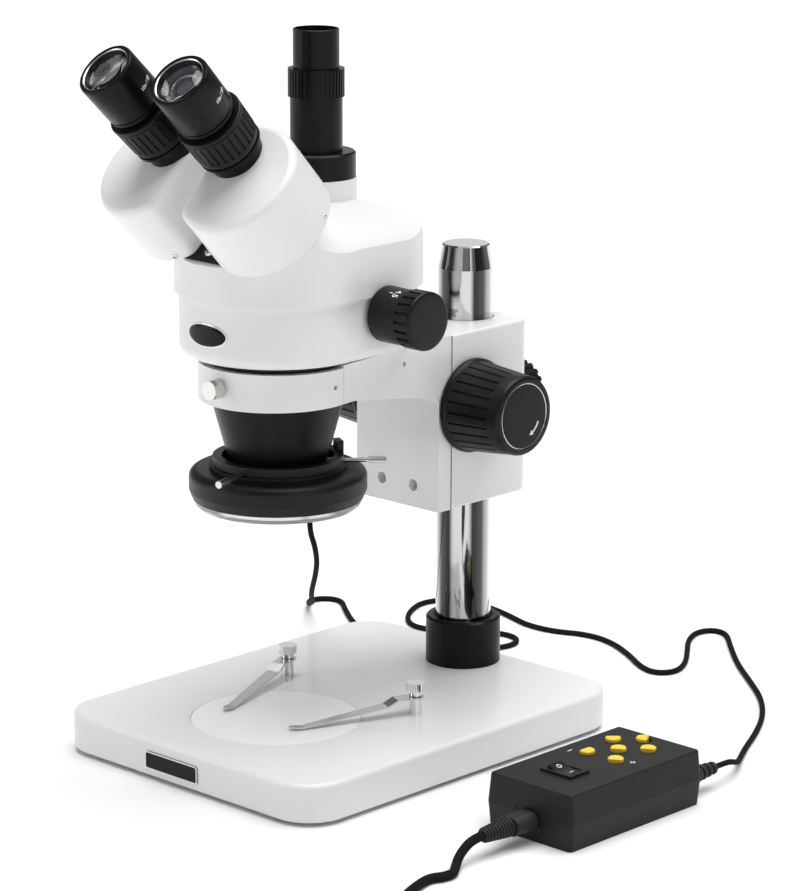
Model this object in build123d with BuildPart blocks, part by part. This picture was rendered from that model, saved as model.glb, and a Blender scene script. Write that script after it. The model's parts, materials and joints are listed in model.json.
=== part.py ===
from build123d import *
from math import sin, cos, tan, radians, pi
import os

os.makedirs("parts", exist_ok=True)

# Trinocular stereo microscope on a pillar stand, with a ring light and its controller.
# Millimetres. Origin on the table under the middle of the base plate, +Z up, the user sits on the -Y side.

# ---------------------------------------------------------------- driving dimensions
# stand
base_width = 200.0
base_depth = 250.0
base_top = 23.6
base_corner_r = 23.8
foot_height = 2.0
pillar_y = 100.8
pillar_r = 16.0
pillar_top = 270.0
spigot_r = 7.0
collar_top = 51.0
stage_y = -51.7
stage_r = 47.5
stage_recess = 3.0
clip_x = 50.5
clip_y = 7.3
clip_hub_z = 33.0
# focus block and carriage
block_half = 31.8
block_front = 55.5
block_back = 121.5
block_bottom = 128.0
block_top = 228.0
carriage_front = 45.0
pinion_y = 71.0
pinion_z = 186.0
lock_z = 178.0
slide_low = 154.0
slide_length = 58.0
running = 0.05
# head column
barrel_y = -49.0
barrel_r = 38.0
ring_r = 43.0
ring_bottom = 205.9
ring_top = 226.6
ring_joint_y = -41.0
arm_tangent_x = 42.68
arm_tangent_y = -43.76
head_bottom = 230.6
head_seam = 265.5
head_back = 26.0
zoom_y = -22.0
zoom_z = 255.5
port_y = -18.9
neck_top = 322.6
port_top = 402.5
port_step = 366.0
port_bore_r = 11.6
# eye tubes: centre of the right eyepiece rim, splay as a slope, distances down the tube from that rim
rim_x = 28.0
rim_y = -144.9
rim_z = 390.2
eye_splay = 0.088
eye_tube_r = 15.0
box_near = 62.0
box_far = 103.6
facet_at = 104.4
drum_r = 34.5
drum_out = 7.0
drum_down = 13.0
drum_chord = -16.0
box_wall = 3.0
hinge_out = 7.0
hinge_down = 20.0
socket_r = 12.0
light_path_r = 8.5
# ring light
light_r = 48.6
light_bottom = 150.0
light_top = 166.5
light_collar_r = 35.6
light_collar_top = 173.5
lug_angle = 62.0
lug_r = 34.4
lug_height = 12.5
light_screw_r = 1.2
screw_z = 170.0
light_screw_spots = ((-75, 30.0), (45, 27.1), (165, 27.1))
# controller
ctl_x = 187.4
ctl_y = 1.0
ctl_w = 56.3
ctl_l = 104.3
ctl_top = 30.7
ctl_part = 15.0
ctl_draft = 5.5
ctl_wall = 2.2
# cables
led_d = 3.2
lead_d = 5.0
coil_x = 250.0
coil_y = -210.0
coil_mean_r = 29.0
coil_height = 14.0


def save(part, name):
    part.label = name
    export_step(part, "parts/" + name + ".step")


def corner_radii(points):
    """Largest arc at each inner corner: 0.45 of the shorter run, over the tangent of half the turn."""
    vectors = [Vector(*p) for p in points]
    radii = []
    for before, here, after in zip(vectors, vectors[1:], vectors[2:]):
        run_in = here - before
        run_out = after - here
        half_turn = radians(run_in.get_angle(run_out)) / 2
        radii.append(0.45 * min(run_in.length, run_out.length) / tan(half_turn))
    return radii


def cable(points, diameter, name):
    """Round cable along straight runs joined by tangent arcs."""
    radii = corner_radii(points)
    with BuildPart() as tube:
        with BuildLine() as path:
            FilletPolyline(*points, radius=radii)
        start = path.wires()[0] if path.wires() else path.line
        with BuildSketch(Plane(origin=start @ 0, z_dir=start % 0)):
            Circle(diameter / 2)
        sweep(path=start)
    length = start.length
    ideal = pi * diameter ** 2 / 4 * length
    print(name, "length", round(length, 1), "volume ratio", round(tube.part.volume / ideal, 4))
    print("   radii in diameters", [round(r / diameter, 1) for r in radii])
    return tube.part


# ---------------------------------------------------------------- stand
with BuildPart() as base_plate:
    with BuildSketch(Plane.XY.offset(foot_height)):
        RectangleRounded(base_width, base_depth, base_corner_r)
    extrude(amount=base_top - foot_height)
    fillet(base_plate.faces().sort_by(Axis.Z)[-1].edges(), 3.0)
    fillet(base_plate.faces().sort_by(Axis.Z)[0].edges(), 2.0)
    with BuildSketch(Plane.XY.offset(base_top)):
        with Locations((0, stage_y)):
            Circle(stage_r)
    extrude(amount=-stage_recess, mode=Mode.SUBTRACT)
    with BuildSketch(Plane.XY.offset(base_top)):
        with Locations((0, pillar_y)):
            Circle(pillar_r)
    extrude(amount=-10, mode=Mode.SUBTRACT)
    with BuildSketch(Plane.XY.offset(foot_height)):
        with Locations((0, pillar_y)):
            Circle(spigot_r)
    extrude(amount=base_top, mode=Mode.SUBTRACT)
    with BuildSketch(Plane.XY.offset(base_top)):
        with Locations((-clip_x, clip_y), (clip_x, clip_y)):
            Circle(2.5)
    extrude(amount=-8, mode=Mode.SUBTRACT)
save(base_plate.part, "base_plate")

with BuildPart() as base_feet:
    with BuildSketch():
        with GridLocations(164, 210, 2, 2):
            Circle(9)
    extrude(amount=foot_height)
    fillet(base_feet.edges().group_by(Axis.Z)[0], 0.6)
save(base_feet.part, "base_feet")

with BuildPart() as pillar:
    with BuildSketch(Plane.YZ):
        with BuildLine():
            Polyline((pillar_y, foot_height + 2), (pillar_y + spigot_r, foot_height + 2),
                     (pillar_y + spigot_r, base_top - 10), (pillar_y + pillar_r, base_top - 10),
                     (pillar_y + pillar_r, pillar_top - 13.6), (pillar_y + 13.6, pillar_top - 0.8),
                     (pillar_y + 12.8, pillar_top), (pillar_y, pillar_top), close=True)
        make_face()
    revolve(axis=Axis((0, pillar_y, 0), (0, 0, 1)))
save(pillar.part, "pillar")

with BuildPart() as pillar_collar:
    with BuildSketch(Plane.XY.offset(base_top)):
        with Locations((0, pillar_y)):
            Circle(21.6)
            Circle(pillar_r + running, mode=Mode.SUBTRACT)
    extrude(amount=collar_top - base_top)
    chamfer(pillar_collar.edges().group_by(Axis.Z)[-1].sort_by(SortBy.RADIUS)[-1], 1.2)
    chamfer(pillar_collar.edges().filter_by(GeomType.CIRCLE).filter_by(
        lambda e: e.radius < 17 and e.center().Z > collar_top - 1), 1.5)
save(pillar_collar.part, "pillar_collar")

with BuildPart() as stage_plate:
    with BuildSketch(Plane.XY.offset(base_top - stage_recess)):
        with Locations((0, stage_y)):
            Circle(stage_r - 0.2)
    extrude(amount=stage_recess + 0.1)
    chamfer(stage_plate.edges().group_by(Axis.Z)[-1], 0.4)
save(stage_plate.part, "stage_plate")

# posts with a thin neck for the clip and a knurled cap screwed on above it
clip_neck_r = 2.0
with BuildPart() as clip_posts:
    with BuildSketch(Plane.XY.offset(base_top - 8)):
        with Locations((-clip_x, clip_y), (clip_x, clip_y)):
            Circle(2.5)
    extrude(amount=8)
    with BuildSketch(Plane.XY.offset(base_top)):
        with Locations((-clip_x, clip_y), (clip_x, clip_y)):
            Circle(3.5)
    extrude(amount=clip_hub_z - base_top)
    with BuildSketch(Plane.XY.offset(clip_hub_z)):
        with Locations((-clip_x, clip_y), (clip_x, clip_y)):
            Circle(clip_neck_r)
    extrude(amount=1.2)
    with BuildSketch(Plane.XY.offset(clip_hub_z + 1.2)):
        with Locations((-clip_x, clip_y), (clip_x, clip_y)):
            Circle(3.5)
    extrude(amount=2.8)
    with BuildSketch(Plane.XY.offset(clip_hub_z + 4)):
        with Locations((-clip_x, clip_y), (clip_x, clip_y)):
            Circle(5.3)
            with PolarLocations(5.3, 24):
                Circle(0.28, mode=Mode.SUBTRACT)
    extrude(amount=4.7)
save(clip_posts.part, "clip_posts")


def spring_clip(side, swing):
    """Strip bent down from its hub on the post to a tip that hovers over the stage plate."""
    along = Vector(sin(radians(swing)) * -side, -cos(radians(swing)), 0)
    post = (side * clip_x, clip_y, 0)
    strip = Plane(origin=post, x_dir=along, z_dir=along.cross(Vector(0, 0, 1)))
    flat = Plane(origin=post, x_dir=along, z_dir=(0, 0, 1))
    thick = 0.8
    with BuildPart() as clip:
        with BuildSketch(strip):
            with BuildLine():
                low = clip_hub_z + 0.1
                Polyline((-5, low), (12, low), (18, low - 3.0), (68, 24.3), (76, 25.4), (76, 25.4 + thick),
                         (68, 24.3 + thick), (18.3, low - 3.0 + thick), (12.3, low + thick),
                         (-5, low + thick), close=True)
            make_face()
        extrude(amount=6, both=True)
        with BuildSketch(flat):
            Circle(5.0)
            with BuildLine():
                Polyline((0, -4.6), (14, -3.9), (72, -2.6), (76, -1.2), (76, 1.2), (72, 2.6), (14, 3.9),
                         (0, 4.6), close=True)
            make_face()
        extrude(amount=60, mode=Mode.INTERSECT)
        with BuildSketch(flat):
            Circle(clip_neck_r + running)
        extrude(amount=60, mode=Mode.SUBTRACT)
    return clip.part


save(spring_clip(-1, 18), "clip_left")
save(spring_clip(1, 22), "clip_right")

# ---------------------------------------------------------------- bush, block and focus drive
bush_r = 17.2
with BuildPart() as pillar_bush:
    with BuildSketch(Plane.XY.offset(block_bottom + 2)):
        with Locations((0, pillar_y)):
            Circle(bush_r)
            Circle(pillar_r + running, mode=Mode.SUBTRACT)
    extrude(amount=block_top - block_bottom - 4)
save(pillar_bush.part, "pillar_bush")

groove_half = 13.0
with BuildPart() as focus_block:
    with BuildSketch(Plane.XY.offset(block_bottom)):
        with BuildLine():
            Polyline((-block_half, block_front), (block_half, block_front), (block_half, block_back),
                     (-block_half, block_back), close=True)
        make_face()
    extrude(amount=block_top - block_bottom)
    fillet(focus_block.edges().filter_by(Axis.Z).group_by(Axis.Y)[-1], 9.0)
    fillet(focus_block.faces().sort_by(Axis.Y)[-1].edges().filter_by(Axis.X), 1.5)
    # seat of the slide guide
    with BuildSketch(Plane.XY.offset(157.9)):
        with Locations((0, block_front + 4)):
            Rectangle(80, 8.1)
    extrude(amount=66.2, mode=Mode.SUBTRACT)
    # channel for the dovetail and the rack
    with BuildSketch(Plane.XY.offset(block_bottom)):
        with Locations((0, block_front + 4)):
            Rectangle(2 * groove_half, 8.1)
        with Locations((0, block_front + 11)):
            Rectangle(14, 22)
    extrude(amount=block_top - block_bottom, mode=Mode.SUBTRACT)
    # pinion bearing
    with BuildSketch(Plane.YZ.offset(-block_half)):
        with Locations((pinion_y, pinion_z)):
            Circle(5.0 + running)
    extrude(amount=2 * block_half, mode=Mode.SUBTRACT)
    # room for the gear in the middle
    with BuildSketch(Plane.YZ.offset(-7)):
        with Locations((pinion_y, pinion_z)):
            Circle(7.0)
    extrude(amount=14, mode=Mode.SUBTRACT)
    # bore for the bush, with a lip above and below that keeps it in
    with BuildSketch(Plane.XY.offset(block_bottom + 2)):
        with Locations((0, pillar_y)):
            Circle(bush_r + running)
    extrude(amount=block_top - block_bottom - 4, mode=Mode.SUBTRACT)
    with BuildSketch(Plane.XY.offset(block_bottom)):
        with Locations((0, pillar_y)):
            Circle(pillar_r + 0.4)
    extrude(amount=block_top - block_bottom, mode=Mode.SUBTRACT)
    # tapped hole of the lock knob
    with BuildSketch(Plane.XZ.offset(-block_back)):
        with Locations((0, lock_z)):
            Circle(4.0 + running)
    extrude(amount=6, mode=Mode.SUBTRACT)
save(focus_block.part, "focus_block")

bar_front_half = 8.8
bar_back_half = 12.0
bar_back = 62.6
with BuildPart() as slide_guide:
    with BuildSketch(Plane.XY.offset(158.0)):
        with Locations((0, block_front + 4.1)):
            Rectangle(2 * block_half, 7.8)
        with BuildLine():
            Polyline((-bar_front_half, block_front - 0.1), (bar_front_half, block_front - 0.1),
                     (bar_back_half + 0.6, 63.6), (-bar_back_half - 0.6, 63.6), close=True)
        make_face(mode=Mode.SUBTRACT)
    extrude(amount=66)
save(slide_guide.part, "slide_guide")

lock_start = block_back + 0.4
lock_knob_r = 16.6
lock_knob_length = 23.1
with BuildPart() as lock_knob:
    with BuildSketch(Plane.XZ.offset(-lock_start)):
        with Locations((0, lock_z)):
            Circle(8)
    extrude(amount=-6)
    with BuildSketch(Plane.XZ.offset(-(lock_start + 6))):
        with Locations((0, lock_z)):
            Circle(lock_knob_r)
            with PolarLocations(lock_knob_r, 20):
                Circle(1.3, mode=Mode.SUBTRACT)
    extrude(amount=-lock_knob_length)
    chamfer(lock_knob.faces().sort_by(Axis.Y)[-1].edges(), 0.8)
    with BuildSketch(Plane.XZ.offset(-(pillar_y + bush_r + 0.3))):
        with Locations((0, lock_z)):
            Circle(4.0)
    extrude(amount=-(lock_start - pillar_y - bush_r - 0.3))
save(lock_knob.part, "lock_knob")

# toothed pinion in the middle of a plain shaft
shaft_half = 60.0
with BuildPart() as pinion_shaft:
    with BuildSketch(Plane.YZ.offset(-shaft_half)):
        with Locations((pinion_y, pinion_z)):
            Circle(5.0)
    extrude(amount=2 * shaft_half)
    with BuildSketch(Plane.YZ.offset(-6)):
        with Locations((pinion_y, pinion_z)):
            Circle(6.4)
            with PolarLocations(6.5, 16):
                Rectangle(1.8, 1.0, mode=Mode.SUBTRACT)
    extrude(amount=12)
save(pinion_shaft.part, "pinion_shaft")

knob_start = block_half + 1.0
knob_end = 72.5


def focus_knob(side):
    """Flange, ribbed cone and rounded end ring around a glossy disc, on the shaft's axis."""
    axis = Axis((0, pinion_y, pinion_z), (1, 0, 0))
    with BuildPart() as knob:
        with BuildSketch(Plane.XY.offset(pinion_z)):
            with BuildLine():
                Polyline((side * knob_start, pinion_y), (side * knob_start, pinion_y + 26.7),
                         (side * (knob_start + 3), pinion_y + 26.7), (side * (knob_start + 4), pinion_y + 25.4),
                         (side * (knob_end - 7), pinion_y + 22.8), (side * (knob_end - 1), pinion_y + 22.3),
                         (side * knob_end, pinion_y + 21.2), (side * knob_end, pinion_y + 18.8),
                         (side * (knob_end - 1.2), pinion_y + 18.4), (side * (knob_end - 1.2), pinion_y),
                         close=True)
            make_face()
        revolve(axis=axis)
        with BuildSketch(Plane.YZ.offset(side * (knob_start + 4.5))):
            with Locations((pinion_y, pinion_z)):
                with PolarLocations(26.0, 30):
                    Rectangle(3.2, 1.5)
        extrude(amount=side * (knob_end - knob_start - 13), mode=Mode.SUBTRACT)
        with BuildSketch(Plane.YZ.offset(side * knob_start)):
            with Locations((pinion_y, pinion_z)):
                Circle(5.0 + running)
        extrude(amount=side * (shaft_half - knob_start + 0.2), mode=Mode.SUBTRACT)
    return knob.part


save(focus_knob(1), "focus_knob_right")
save(focus_knob(-1), "focus_knob_left")

# ---------------------------------------------------------------- carriage, arm and head ring in one casting
with BuildPart() as carriage_arm:
    with BuildSketch(Plane.XY.offset(block_bottom)):
        with BuildLine():
            Polyline((-block_half, block_front - 0.3), (-block_half, carriage_front),
                     (-arm_tangent_x, arm_tangent_y), (arm_tangent_x, arm_tangent_y),
                     (block_half, carriage_front), (block_half, block_front - 0.3), close=True)
        make_face()
        with Locations((0, barrel_y)):
            Circle(ring_r)
    extrude(amount=block_top - block_bottom)
    # side profile: ring and arm are shallow, the arm deepens towards the carriage
    with BuildSketch(Plane.YZ.offset(-60)):
        with BuildLine():
            Polyline((-110, ring_bottom), (-32, ring_bottom + 1), (17, 199.2), (carriage_front - 2, 193.9),
                     (carriage_front, 191), (carriage_front, block_bottom - 5), (-110, block_bottom - 5),
                     close=True)
        make_face()
    extrude(amount=120, mode=Mode.SUBTRACT)
    with BuildSketch(Plane.XY.offset(block_bottom)):
        with Locations((0, barrel_y)):
            Circle(barrel_r + running)
    extrude(amount=block_top - block_bottom, mode=Mode.SUBTRACT)
    # the ring stands a little lower than the arm, with a groove between them on each side
    with BuildSketch(Plane.XY.offset(ring_top)):
        with Locations((0, ring_joint_y)):
            Rectangle(120, 120, align=(Align.CENTER, Align.MAX))
    extrude(amount=block_top - ring_top + 1, mode=Mode.SUBTRACT)
    with BuildSketch(Plane.XY.offset(ring_bottom - 2)):
        with Locations((-ring_r - 0.1, ring_joint_y), (ring_r + 0.1, ring_joint_y)):
            Rectangle(2.2, 0.5)
    extrude(amount=block_top - ring_bottom + 4, mode=Mode.SUBTRACT)
    # dovetail bar on the back of the carriage
    with BuildSketch(Plane.XY.offset(slide_low)):
        with BuildLine():
            Polyline((-bar_front_half + 0.3, block_front - 0.4), (bar_front_half - 0.3, block_front - 0.4),
                     (bar_back_half, bar_back), (-bar_back_half, bar_back), close=True)
        make_face()
    extrude(amount=slide_length)
    # counterbored holes of the rack screws
    with BuildSketch(Plane.XZ.offset(-carriage_front)):
        with Locations((-12.2, 140.6), (12.2, 140.6)):
            Circle(3.4)
    extrude(amount=-6, mode=Mode.SUBTRACT)
    # thumb screw hole, side set screw hole, small hole in the arm
    with BuildSketch(Plane.XZ.offset(-barrel_y)):
        with Locations((0, 217)):
            Circle(2.5 + running)
    extrude(amount=60, mode=Mode.SUBTRACT)
    with BuildSketch(Plane.YZ.offset(ring_r - 11)):
        with Locations((13, 219)):
            Circle(1.5)
    extrude(amount=18, mode=Mode.SUBTRACT)
    with BuildSketch(Plane.YZ.offset(barrel_r + 1)):
        with Locations((-47.8, 217)):
            Circle(1.3)
    extrude(amount=10, mode=Mode.SUBTRACT)
save(carriage_arm.part, "carriage_arm")

rack_tip = pinion_y - 6.75
with BuildPart() as focus_rack:
    with BuildSketch(Plane.XY.offset(slide_low)):
        with Locations((0, (bar_back + rack_tip) / 2)):
            Rectangle(10, rack_tip - bar_back)
    extrude(amount=slide_length)
    with BuildSketch(Plane.YZ.offset(-5)):
        with Locations((rack_tip, slide_low + slide_length / 2)):
            with GridLocations(1.6, 2.5, 1, 22):
                Rectangle(1.6, 1.2)
    extrude(amount=10, mode=Mode.SUBTRACT)
save(focus_rack.part, "focus_rack")

with BuildPart() as ring_thumb_screw:
    with BuildSketch(Plane.XZ.offset(-barrel_y + barrel_r + 0.3)):
        with Locations((0, 217)):
            Circle(2.5)
    extrude(amount=6)
    with BuildSketch(Plane.XZ.offset(-barrel_y + ring_r + 0.6)):
        with Locations((0, 217)):
            Circle(5.2)
            with PolarLocations(5.2, 28):
                Circle(0.22, mode=Mode.SUBTRACT)
    extrude(amount=7.4)
save(ring_thumb_screw.part, "ring_thumb_screw")


# ---------------------------------------------------------------- head
def head_outline(front_r, half, back, corner):
    """Plan of the housings: round nose about the barrel, straight flanks, rounded back corners."""
    with BuildSketch(mode=Mode.PRIVATE) as plan:
        with Locations((0, barrel_y)):
            Circle(front_r)
        with BuildLine():
            Polyline((-half, barrel_y), (half, barrel_y), (half, back), (-half, back), close=True)
        make_face()
        fillet(plan.vertices().group_by(Axis.Y)[-1], corner)
    return plan.sketch


shell = 3.0
with BuildPart() as head_lower_housing:
    with BuildSketch(Plane.XY.offset(head_bottom)):
        add(head_outline(53.0, 52.5, head_back - 2, 31))
    extrude(amount=head_seam - head_bottom)
    fillet(head_lower_housing.faces().sort_by(Axis.Z)[0].edges(), 7.0)
    with BuildSketch(Plane.XY.offset(head_bottom + shell)):
        add(head_outline(53.0 - shell - 3, 52.5 - shell - 3, head_back - 5 - shell, 26))
    extrude(amount=60, mode=Mode.SUBTRACT)
    with BuildSketch(Plane.XY.offset(head_bottom - 1)):
        with Locations((0, barrel_y)):
            Circle(33.0)
    extrude(amount=10, mode=Mode.SUBTRACT)
    with BuildSketch(Plane.YZ.offset(-60)):
        with Locations((zoom_y, zoom_z)):
            Circle(3.0 + running)
    extrude(amount=120, mode=Mode.SUBTRACT)
save(head_lower_housing.part, "head_lower_housing")

# the two facets that carry the prism boxes are square to the eye tubes
down = Vector(-eye_splay, 0.99, -1.0).normalized()
outward = Vector(1.0, eye_splay / 0.99, 0).normalized()
rim = Vector(rim_x, rim_y, rim_z)


def tube_plane(distance, out=0.0, below=0.0):
    """Plane square to the right eye tube, its z pointing at the eye, at a distance down from the rim."""
    up_in_plane = (down * -1).cross(outward)
    origin = rim + down * distance + outward * out - up_in_plane * below
    return Plane(origin=origin, x_dir=outward, z_dir=down * -1)


facet = tube_plane(facet_at)
facet_left = Plane(origin=(-facet.origin.X, facet.origin.Y, facet.origin.Z),
                   x_dir=(-facet.x_dir.X, facet.x_dir.Y, facet.x_dir.Z),
                   z_dir=(-facet.z_dir.X, facet.z_dir.Y, facet.z_dir.Z))

with BuildPart() as head_upper_housing:
    with BuildSketch(Plane.XY.offset(head_seam)):
        add(head_outline(55.5, 55.0, head_back, 32))
    extrude(amount=neck_top - head_seam)
    # hump seen from the side
    with BuildSketch(Plane.YZ.offset(-70)):
        with BuildLine():
            hump = Line((-110, head_seam), (head_back + 2, head_seam))
            back_wall = Line(hump @ 1, (head_back + 2, 282))
            slope = Spline((head_back + 2, 282), (20, 296), (4, 307), (-18, 312), tangents=[(0, 1), (-1, 0.05)])
            lid = Line(slope @ 1, (-110, 312))
            Line(lid @ 1, hump @ 0)
        make_face()
    extrude(amount=140, mode=Mode.INTERSECT)
    # shoulders seen from the front
    with BuildSketch(Plane.XZ.offset(-60)):
        with BuildLine():
            floor_line = Line((-60, head_seam), (60, head_seam))
            right_wall = Line(floor_line @ 1, (60, 283))
            right_shoulder = Spline((60, 283), (50, 298), (32, 308), (14, 312), tangents=[(-0.3, 1), (-1, 0)])
            crown = Line(right_shoulder @ 1, (-14, 312))
            left_shoulder = Spline((-14, 312), (-32, 308), (-50, 298), (-60, 283), tangents=[(-1, 0), (-0.3, -1)])
            Line(left_shoulder @ 1, floor_line @ 0)
        make_face()
    extrude(amount=200, mode=Mode.INTERSECT)
    for side_plane in (facet, facet_left):
        with BuildSketch(side_plane):
            Rectangle(300, 300)
        extrude(amount=120, mode=Mode.SUBTRACT)
    with BuildSketch(Plane.XY.offset(head_seam + 20)):
        with Locations((0, port_y)):
            Circle(22.0)
    extrude(amount=neck_top - head_seam - 20)
    # inside: a cavity that keeps a wall everywhere, open to the lower housing
    with BuildSketch(Plane.XY.offset(head_seam)):
        add(head_outline(55.5 - 6, 49.0, head_back - 6, 27))
    extrude(amount=14, mode=Mode.SUBTRACT)
    with BuildSketch(Plane.XY.offset(head_seam)):
        with Locations((0, port_y)):
            Circle(14.2)
    extrude(amount=100, mode=Mode.SUBTRACT)
    # sockets that the prism boxes turn in, and the light paths below them
    for side_plane, socket_down in ((facet, -hinge_down), (facet_left, hinge_down)):
        with BuildSketch(side_plane):
            with Locations((hinge_out, socket_down)):
                Circle(socket_r + running)
        extrude(amount=-8, mode=Mode.SUBTRACT)
        with BuildSketch(side_plane):
            with Locations((hinge_out, socket_down)):
                Circle(light_path_r)
        extrude(amount=-45, mode=Mode.SUBTRACT)
save(head_upper_housing.part, "head_upper_housing")

with BuildPart() as objective_barrel:
    with BuildSketch(Plane.YZ):
        with BuildLine():
            Polyline((barrel_y + 33, head_bottom), (barrel_y + 41, head_bottom),
                     (barrel_y + 41, block_top + 0.1), (barrel_y + barrel_r, block_top + 0.1),
                     (barrel_y + barrel_r, ring_bottom), (barrel_y + 36.3, ring_bottom - 0.5),
                     (barrel_y + 27.9, 174.4), (barrel_y + 27, 174), (barrel_y + 27, 160),
                     (barrel_y + 24, 160), (barrel_y + 24, 168), (barrel_y, 168), (barrel_y, 172),
                     (barrel_y + 24, 172), (barrel_y + 25, 182), (barrel_y + 31, ring_bottom + 2),
                     (barrel_y + 33, ring_bottom + 6), close=True)
        make_face()
    revolve(axis=Axis((0, barrel_y, 0), (0, 0, 1)))
    with BuildSketch(Plane.XY.offset(167)):
        with Locations((-11, barrel_y), (11, barrel_y)):
            Circle(9.0)
    extrude(amount=6, mode=Mode.SUBTRACT)
save(objective_barrel.part, "objective_barrel")

with BuildPart() as objective_lenses:
    with BuildSketch(Plane.XY.offset(168.4)):
        with Locations((-11, barrel_y), (11, barrel_y)):
            Circle(9.0)
    extrude(amount=3.2)
save(objective_lenses.part, "objective_lenses")

with BuildPart() as zoom_shaft:
    with BuildSketch(Plane.YZ.offset(-80)):
        with Locations((zoom_y, zoom_z)):
            Circle(3.0)
    extrude(amount=160)
    with BuildSketch(Plane.YZ.offset(-24)):
        with Locations((zoom_y, zoom_z)):
            Circle(7.0)
    extrude(amount=48)
save(zoom_shaft.part, "zoom_shaft")

with BuildPart() as zoom_knobs:
    for side in (-1, 1):
        with BuildSketch(Plane.XY.offset(zoom_z)):
            with BuildLine():
                Polyline((side * 55.5, zoom_y), (side * 55.5, zoom_y + 14.6), (side * 56.3, zoom_y + 15.2),
                         (side * 66, zoom_y + 15.2), (side * 66.6, zoom_y + 15.9), (side * 82.5, zoom_y + 15.9),
                         (side * 86, zoom_y + 14.4), (side * 86.6, zoom_y), close=True)
            make_face()
        revolve(axis=Axis((0, zoom_y, zoom_z), (1, 0, 0)))
        with BuildSketch(Plane.YZ.offset(side * 67.5)):
            with Locations((zoom_y, zoom_z)):
                with PolarLocations(16.0, 16):
                    Rectangle(1.8, 2.6)
        extrude(amount=side * 20, mode=Mode.SUBTRACT)
        with BuildSketch(Plane.YZ.offset(side * 54)):
            with Locations((zoom_y, zoom_z)):
                Circle(3.0)
        extrude(amount=side * 26, mode=Mode.SUBTRACT)
save(zoom_knobs.part, "zoom_knobs")


def lens_carrier(height):
    """Plate with two lens cells that rides up and down on the zoom drive."""
    with BuildPart() as carrier:
        with BuildSketch(Plane.XY.offset(height)):
            with Locations((0, barrel_y)):
                RectangleRounded(46, 24, 5)
            with Locations((-11, barrel_y), (11, barrel_y)):
                Circle(7.5, mode=Mode.SUBTRACT)
        extrude(amount=3)
    return carrier.part


save(lens_carrier(241), "lens_carrier_lower")
save(lens_carrier(268), "lens_carrier_upper")

# ---------------------------------------------------------------- camera port
with BuildPart() as port_tube:
    with BuildSketch(Plane.XY.offset(neck_top)):
        with Locations((0, port_y)):
            Circle(21.4)
    extrude(amount=14.1)
    chamfer(port_tube.faces().sort_by(Axis.Z)[-1].edges(), 1.0)
    with BuildSketch(Plane.XY.offset(neck_top + 14.1)):
        with Locations((0, port_y)):
            Circle(14.2)
    extrude(amount=port_step - neck_top - 14.1)
    with BuildSketch(Plane.XY.offset(port_step)):
        with Locations((0, port_y)):
            Circle(12.5)
    extrude(amount=port_top - port_step)
    chamfer(port_tube.faces().sort_by(Axis.Z)[-1].edges(), 0.4)
    with BuildSketch(Plane.XY.offset(neck_top)):
        with Locations((0, port_y)):
            Circle(port_bore_r)
    extrude(amount=port_top - neck_top, mode=Mode.SUBTRACT)
save(port_tube.part, "port_tube")

with BuildPart() as port_ring:
    with BuildSketch(Plane.XY.offset(port_step + 0.1)):
        with Locations((0, port_y)):
            Circle(15.3)
            with PolarLocations(15.3, 40):
                Rectangle(0.9, 1.1, mode=Mode.SUBTRACT)
            Circle(12.5 + running, mode=Mode.SUBTRACT)
    extrude(amount=15.2)
save(port_ring.part, "port_ring")

# ---------------------------------------------------------------- right prism box and eye tube; left is the mirror
box_inner_far = box_far - 5.0
with BuildPart() as prism_box_right:
    with BuildSketch(tube_plane(box_near)) as drum:
        with Locations((drum_out, -drum_down)):
            Circle(drum_r)
        with Locations((drum_chord, -drum_down)):
            Rectangle(60, 90, align=(Align.MAX, Align.CENTER), mode=Mode.SUBTRACT)
        fillet(drum.vertices(), 7.0)
    extrude(amount=box_near - box_far)
    fillet(prism_box_right.faces().sort_by(Axis(facet.origin, facet.z_dir))[-1].edges(), 4.0)
    fillet(prism_box_right.faces().sort_by(Axis(facet.origin, facet.z_dir))[0].edges(), 2.0)
    with BuildSketch(tube_plane(box_near + 5)) as cavity:
        with Locations((drum_out, -drum_down)):
            Circle(drum_r - box_wall)
        with Locations((drum_chord + box_wall, -drum_down)):
            Rectangle(60, 90, align=(Align.MAX, Align.CENTER), mode=Mode.SUBTRACT)
        fillet(cavity.vertices(), 4.0)
    extrude(amount=box_near + 5 - box_inner_far, mode=Mode.SUBTRACT)
    with BuildSketch(tube_plane(box_near - 5)):
        Circle(eye_tube_r)
    extrude(amount=-12, mode=Mode.SUBTRACT)
    # prism standing on the floor of the box
    with BuildSketch(tube_plane(box_near + 14)):
        with Locations((hinge_out / 2, -hinge_down / 2)):
            RectangleRounded(24, 40, 2)
    extrude(amount=box_near + 14 - box_inner_far)
    # hollow spigot that turns in the head
    with BuildSketch(tube_plane(box_far)):
        with Locations((hinge_out, -hinge_down)):
            Circle(socket_r)
    extrude(amount=-8)
    with BuildSketch(tube_plane(box_far + 8)):
        with Locations((hinge_out, -hinge_down)):
            Circle(light_path_r)
    extrude(amount=10, mode=Mode.SUBTRACT)

eye_bore_r = 14.2
with BuildPart() as eye_tube_right:
    with BuildSketch(tube_plane(30.4)):
        Circle(15.4)
    extrude(amount=30.4 - 54)
    with BuildSketch(tube_plane(53)):
        Circle(17.6)
    extrude(amount=-1.6)
    with BuildSketch(tube_plane(54)):
        Circle(eye_tube_r)
    extrude(amount=54 - box_near - 5)
    with BuildSketch(tube_plane(30)):
        Circle(eye_bore_r)
    extrude(amount=-23, mode=Mode.SUBTRACT)
    with BuildSketch(tube_plane(50)):
        Circle(eye_bore_r - 1.2)
    extrude(amount=-30, mode=Mode.SUBTRACT)

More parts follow.
